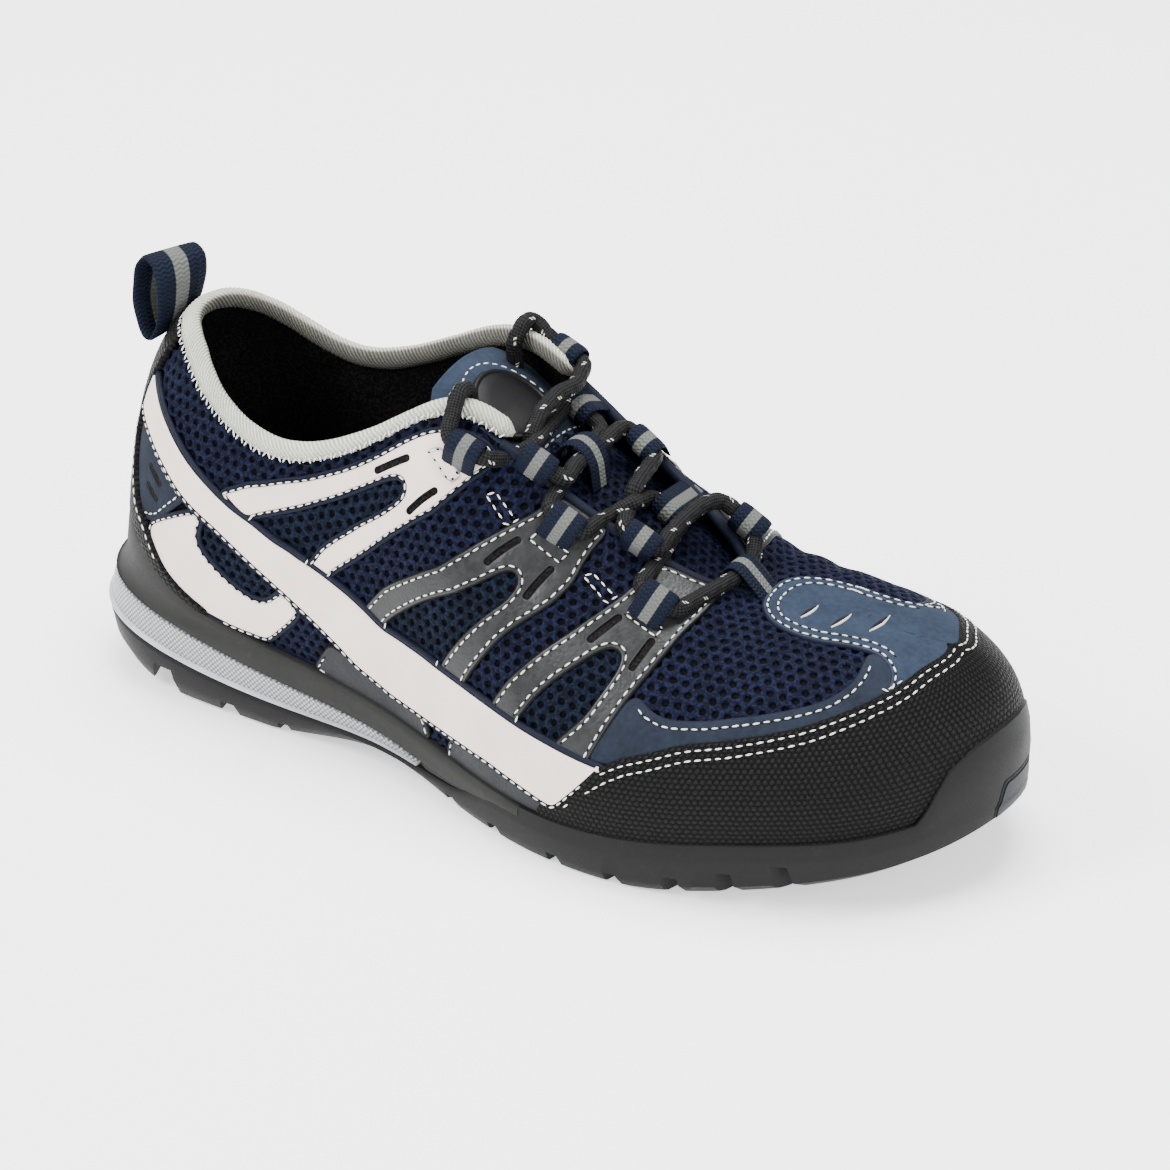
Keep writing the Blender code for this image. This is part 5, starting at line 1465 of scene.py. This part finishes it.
# keeper on the tongue that the laces cross under
keeper = np.array(((152.8, 92.5), (153.6, 96.5), (156.0, 100.0), (159.4, 101.2), (162.8, 99.4), (165.0, 95.4),
                   (166.0, 88.0)))
bands.append(webbingBand(softened(refined(keeper, 0.5), 8, False), np.array((1.0, 0, 0)),
                         np.array((0, 0, 1.0)), np.array((0, 1.0, 0)), np.array((0, -4.0, 0)), 10.0, 1.1))
loops = newPiece("laceLoops", *joined([band[:2] for band in bands]), [paints["webbing"]],
                 flow=np.concatenate([band[2] for band in bands]), weld=0.0005)
sideLoops = ["lace_loop_%s_%d" % (word, k) for word in ("outer", "inner") for k in range(1, 6)]
seat(loops, "webbing_navy", "lace_loop_toe", *sideLoops)

# heel loop, its top turned towards the outer side
pullSize = dict(wide=18.0, thick=1.3, turn=22, axis=13.2, lean=6.0)
pullLine = np.array(((17.1, 98.5), (20.2, 103.5), (21.6, 109), (22.3, 116), (20.8, 120.8), (15.6, 122.4),
                     (11.2, 118), (11.0, 108.5), (14.6, 100)))
path = softened(refined(pullLine, 0.8, True)[:-1], 6, True)
way = unit(np.roll(path, -1, 0) - np.roll(path, 1, 0))
raised = np.clip((path[:, 1] - 100) / 20, 0, 1)
turn = np.radians(pullSize["turn"]) * raised
outX, outY = np.cos(turn), -np.sin(turn)
offset = path[:, 0] - pullSize["axis"]
sway = offset * outY + pullSize["lean"] * raised
centres = np.stack([pullSize["axis"] + offset * outX, sway, path[:, 1]], 1)
normal = np.stack([way[:, 1] * outX, way[:, 1] * outY, -way[:, 0]], 1)
aside = np.stack([-outY, outX, 0 * outX], 1)
run = runAlong(path)
shares = (-0.5, -0.45, -0.3, -0.13, 0.0, 0.13, 0.3, 0.45, 0.5)
lifts = (0.1, 0.42, 0.5, 0.5, 0.5, 0.5, 0.5, 0.42, 0.1)
section = bandSection(shares, lifts, pullSize["wide"], pullSize["thick"])
pull = swept("heelLoop", centres, aside, normal, section, [paints["webbing"]], bandFlow(section, run, 0.6),
             shut=True)
seat(pull, "webbing_navy", "pull_loop")

# lace: two halves from the toe loop to the top loops, ends tucked over the collar edge
laceSize = dict(radius=2.4, sides=20, step=0.6, braid=0.22)
laceRuns = ((("outer", 5), ("inner", 4), ("outer", 3), ("inner", 2), ("outer", 1)),
            (("inner", 5), ("outer", 4), ("inner", 3), ("outer", 2), ("inner", 1)))
laceWays = (    # where each half runs between its loops, from the toe up
    (((189.8, -12.4, 76.6), (187.5, 0.4, 79.3)),
     ((176.5, 1.8, 84.7), (178.1, -9.0, 88.1), (174.4, -14.1, 85.5), (173.6, -20.3, 85.9)),
     ((161.2, -18.7, 93.2), (160.2, -11.7, 94.3), (161.9, -7.1, 97.2)),
     ((145.7, 11.4, 102.5), (146.7, 2.3, 100.9), (151.5, -16.9, 102.2), (147.3, -22.0, 99.3))),
    (((193.7, 10.4, 84.8), (191.9, 4.6, 85.1), (190.3, -3.6, 83.0), (190.8, -12.0, 82.2)),
     ((175.6, -5.7, 85.4), (176.0, -4.6, 89.8), (174.9, 2.2, 90.9)),
     ((162.3, 11.7, 98.5), (162.5, 3.8, 98.1), (160.5, -2.6, 95.5), (162.5, -13.4, 97.7)),
     ((148.7, -13.7, 99.8), (148.1, -12.6, 102.9), (147.3, -5.6, 107.1), (146.7, 4.4, 108.3),
      (148.3, 11.4, 108.1))))
tuck = ((8.4, 3.6), (10.3, -0.7), (7.4, -6.0), (-6.0, -8.4), (-16.0, -8.4))    # over the collar edge: up, out
bodies, flows, laceLength = [], [], 0.0
for half, order in enumerate(laceRuns):
    away = -1.0 if half == 0 else 1.0
    route = [toeHold - (0, 0.8 * away, 0), toeHold + (0, 6.0 * away, 0)]
    for k, key in enumerate(order):
        middle, heelward = holds[key]
        route += [middle + step * heelward for step in (-6.0, -4.0, 4.0, 6.0)]
        if k < 4:
            route += [np.array(spot) for spot in laceWays[half][k]]
    edge = 4.86 if half == 0 else stations - 4.86
    top = skinAt(np.array((edge, edge)), np.array((0.97, 1.0)))
    up = unit(top[1] - top[0])
    out = skinFrame(np.array((edge,)), 0.97)[0][0]
    route += [top[1] + a * up + b * out for a, b in tuck]
    path = softened(refined(np.array(route), laceSize["step"]), 12, False)
    path = refined(path, laceSize["step"])
    run = runAlong(path)
    laceLength += run[-1]
    way = unit(np.gradient(path, axis=0))
    aside = unit(np.cross(way, (0.5, 0, 0.87)))
    upward = np.cross(aside, way)
    sides = laceSize["sides"]
    rows = []
    for k in range(sides + 1):
        angle = 2 * math.pi * k / sides
        strand = np.maximum(np.cos(4 * angle + run * 1.35), np.cos(4 * angle - run * 1.35))
        radius = (laceSize["radius"] - laceSize["braid"] + laceSize["braid"] * strand)[:, None]
        rows.append(path + radius * (math.cos(angle) * aside + math.sin(angle) * upward))
        flows.append(np.stack([np.full(len(run), k / sides), run * 0.001], 1))
    faces = bandFaces(sides + 1, len(path), False) + endCaps(sides, len(path))
    bodies.append((np.concatenate(rows), faces))
lace = newPiece("laceCord", *joined(bodies), [paints["cord"]], flow=np.concatenate(flows), weld=0.0005)
seat(lace, "cord_black", "lace")
print("lace, millimetres", round(laceLength))

# slits across the vamp strip: ends (p, v), an opening painted dark as painted shade, and its raised light lip
slitEnds = (((8.48, 0.91), (8.66, 1.0)), ((8.78, 0.89), (12.96, 1.0)), ((9.20, 0.91), (12.68, 0.93)))
stripSpots = np.array([corner.co for corner in panels["vampStrip"].data.vertices])
stripTree = BVHTree.FromPolygons([Vector(one) for one in stripSpots],
                                 [tuple(face.vertices) for face in panels["vampStrip"].data.polygons])


def overStrip(flat, lift):
    points = []
    for (x, y), up in zip(flat, np.broadcast_to(lift, len(flat))):
        spot = Vector(place((x, y, 200)))
        hit, normal = stripTree.ray_cast(spot, Vector((0, 0, -1)))[:2]
        points.append(np.array(hit + normal * up * 0.001) / 0.001 + rowOrigin)
    return np.array(points)


bodies, tints = [], []
for start, end in slitEnds:
    a, b = skinAt(start[0], start[1])[0, :2], skinAt(end[0], end[1])[0, :2]
    way = unit(b - a)
    aside = np.array((way[1], -way[0]))
    aside = aside if aside @ np.array((0.6, -0.8)) > 0 else -aside
    steps = np.linspace(0, 1, 25)
    swell = np.sin(np.pi * np.clip(steps, 0.02, 0.98))**0.6
    for tint, low, high, lifts in ((0, -0.9, 0.35, (0.1, 0.16, 0.16, 0.1)),
                                   (1, 0.3, 0.95, (0.15, 0.5, 0.5, 0.1))):
        shares = np.linspace(low, high, 4)
        lines = [a + steps[:, None] * (b - a) + (share * swell)[:, None] * aside for share in shares]
        rows = [overStrip(line, lift) for line, lift in zip(lines, lifts)]
        rows += [overStrip(line, -0.6) for line in lines[::-1]]
        faces = bandFaces(len(rows) + 1, len(steps), False) + endCaps(len(rows), len(steps))
        bodies.append((np.concatenate(rows + rows[:1]), faces))
        tints += [tint] * len(faces)
slits = newPiece("stripSlits", *joined(bodies), [paints["needle"], paints["thread"]], tints, weld=0.002)
seat(slits, "nubuck_blue")

# stitches, and dark beads in the needle holes as painted shade
stitchLooks = {    # name, length, width and height in millimetres, wobble, paint
    "white": ("seamStitches", (2.05, 0.54, 0.42), 0.09, "thread"),
    # dark bead at each needle hole: painted shade of the hole
    "hole": ("needleHoleShade", (0.9, 0.62, 0.5), 0.0, "needle"),
}
for kind, (name, sizes, wobble, paint) in stitchLooks.items():
    rows = np.concatenate(threads[kind])
    made = grow(stitchTree, place(rows[:, :3]), {"facing": rows[:, 3:6], "along": rows[:, 6:9]},
                {"Size": Vector(sizes) * 0.001, "Wobble": wobble, "Seed": 4, "Paint": paints[paint]})
    made.name = name
    piece = bpy.data.objects.new(name, made)
    scene.collection.objects.link(piece)
    seat(piece, "leather_beige")
    print(name, len(rows))

# inside: plain plush on the foot bed
for bedSlot in bpy.data.objects["insole"].material_slots:
    bedSlot.material = paints["lining"]

# floor, light, camera
floorPaint = Paint("paperWhite", gloss=0.1, rough=0.9)
floorPaint.set(color=floorPaint.blend(floorPaint.noise(400.0), (0.94, 0.94, 0.94), (0.96, 0.96, 0.96)))
floorPaint.shader.inputs["Emission Color"].default_value = (1, 1, 1, 1)
floorPaint.shader.inputs["Emission Strength"].default_value = 0.9
bpy.ops.mesh.primitive_grid_add(x_subdivisions=4, y_subdivisions=4, size=8, location=(0, 0, 0))
floor = bpy.context.object
floor.name = "paperFloor"
floor.data.materials.append(floorPaint.material)


def areaLight(name, spot, aim, size, power):
    light = bpy.data.lights.new(name, "AREA")
    light.shape, light.size, light.energy = "DISK", size, power
    lamp = bpy.data.objects.new(name, light)
    lamp.location = spot
    lamp.rotation_euler = (Vector(aim) - Vector(spot)).to_track_quat("-Z", "Y").to_euler()
    scene.collection.objects.link(lamp)


areaLight("keyLight", (-0.8, -1.0, 1.2), (0, 0, 0.04), 0.9, 36)
areaLight("fillLight", (1.3, -0.7, 0.8), (0, 0, 0.04), 1.0, 18)
areaLight("topLight", (-0.1, 0.35, 1.7), (0, 0, 0.04), 1.3, 66)
world = bpy.data.worlds.new("studio")
world.use_nodes = True
world.node_tree.nodes["Background"].inputs["Color"].default_value = (1, 1, 1, 1)
world.node_tree.nodes["Background"].inputs["Strength"].default_value = 0.9
scene.world = world

# the photo's camera: pixels, then degrees around and above, then metres
photoSize = dict(wide=1170, focal=4260, shiftX=25, shiftY=20, around=31, above=28, away=1.2)
camera = bpy.data.cameras.new("photoCamera")
camera.sensor_width, camera.lens = 36.0, 36.0 * photoSize["focal"] / photoSize["wide"]
camera.shift_x = photoSize["shiftX"] / photoSize["wide"]
camera.shift_y = photoSize["shiftY"] / photoSize["wide"]
camera.clip_start, camera.clip_end = 0.05, 20
eye = bpy.data.objects.new("photoCamera", camera)
az, el = math.radians(photoSize["around"]), math.radians(photoSize["above"])
aim = Vector((0.0045, 0.00447, 0.045))
back = Vector((math.sin(az) * math.cos(el), -math.cos(az) * math.cos(el), math.sin(el)))
eye.location = aim + photoSize["away"] * back
eye.rotation_euler = (-back).to_track_quat("-Z", "Y").to_euler()
scene.collection.objects.link(eye)
scene.camera = eye
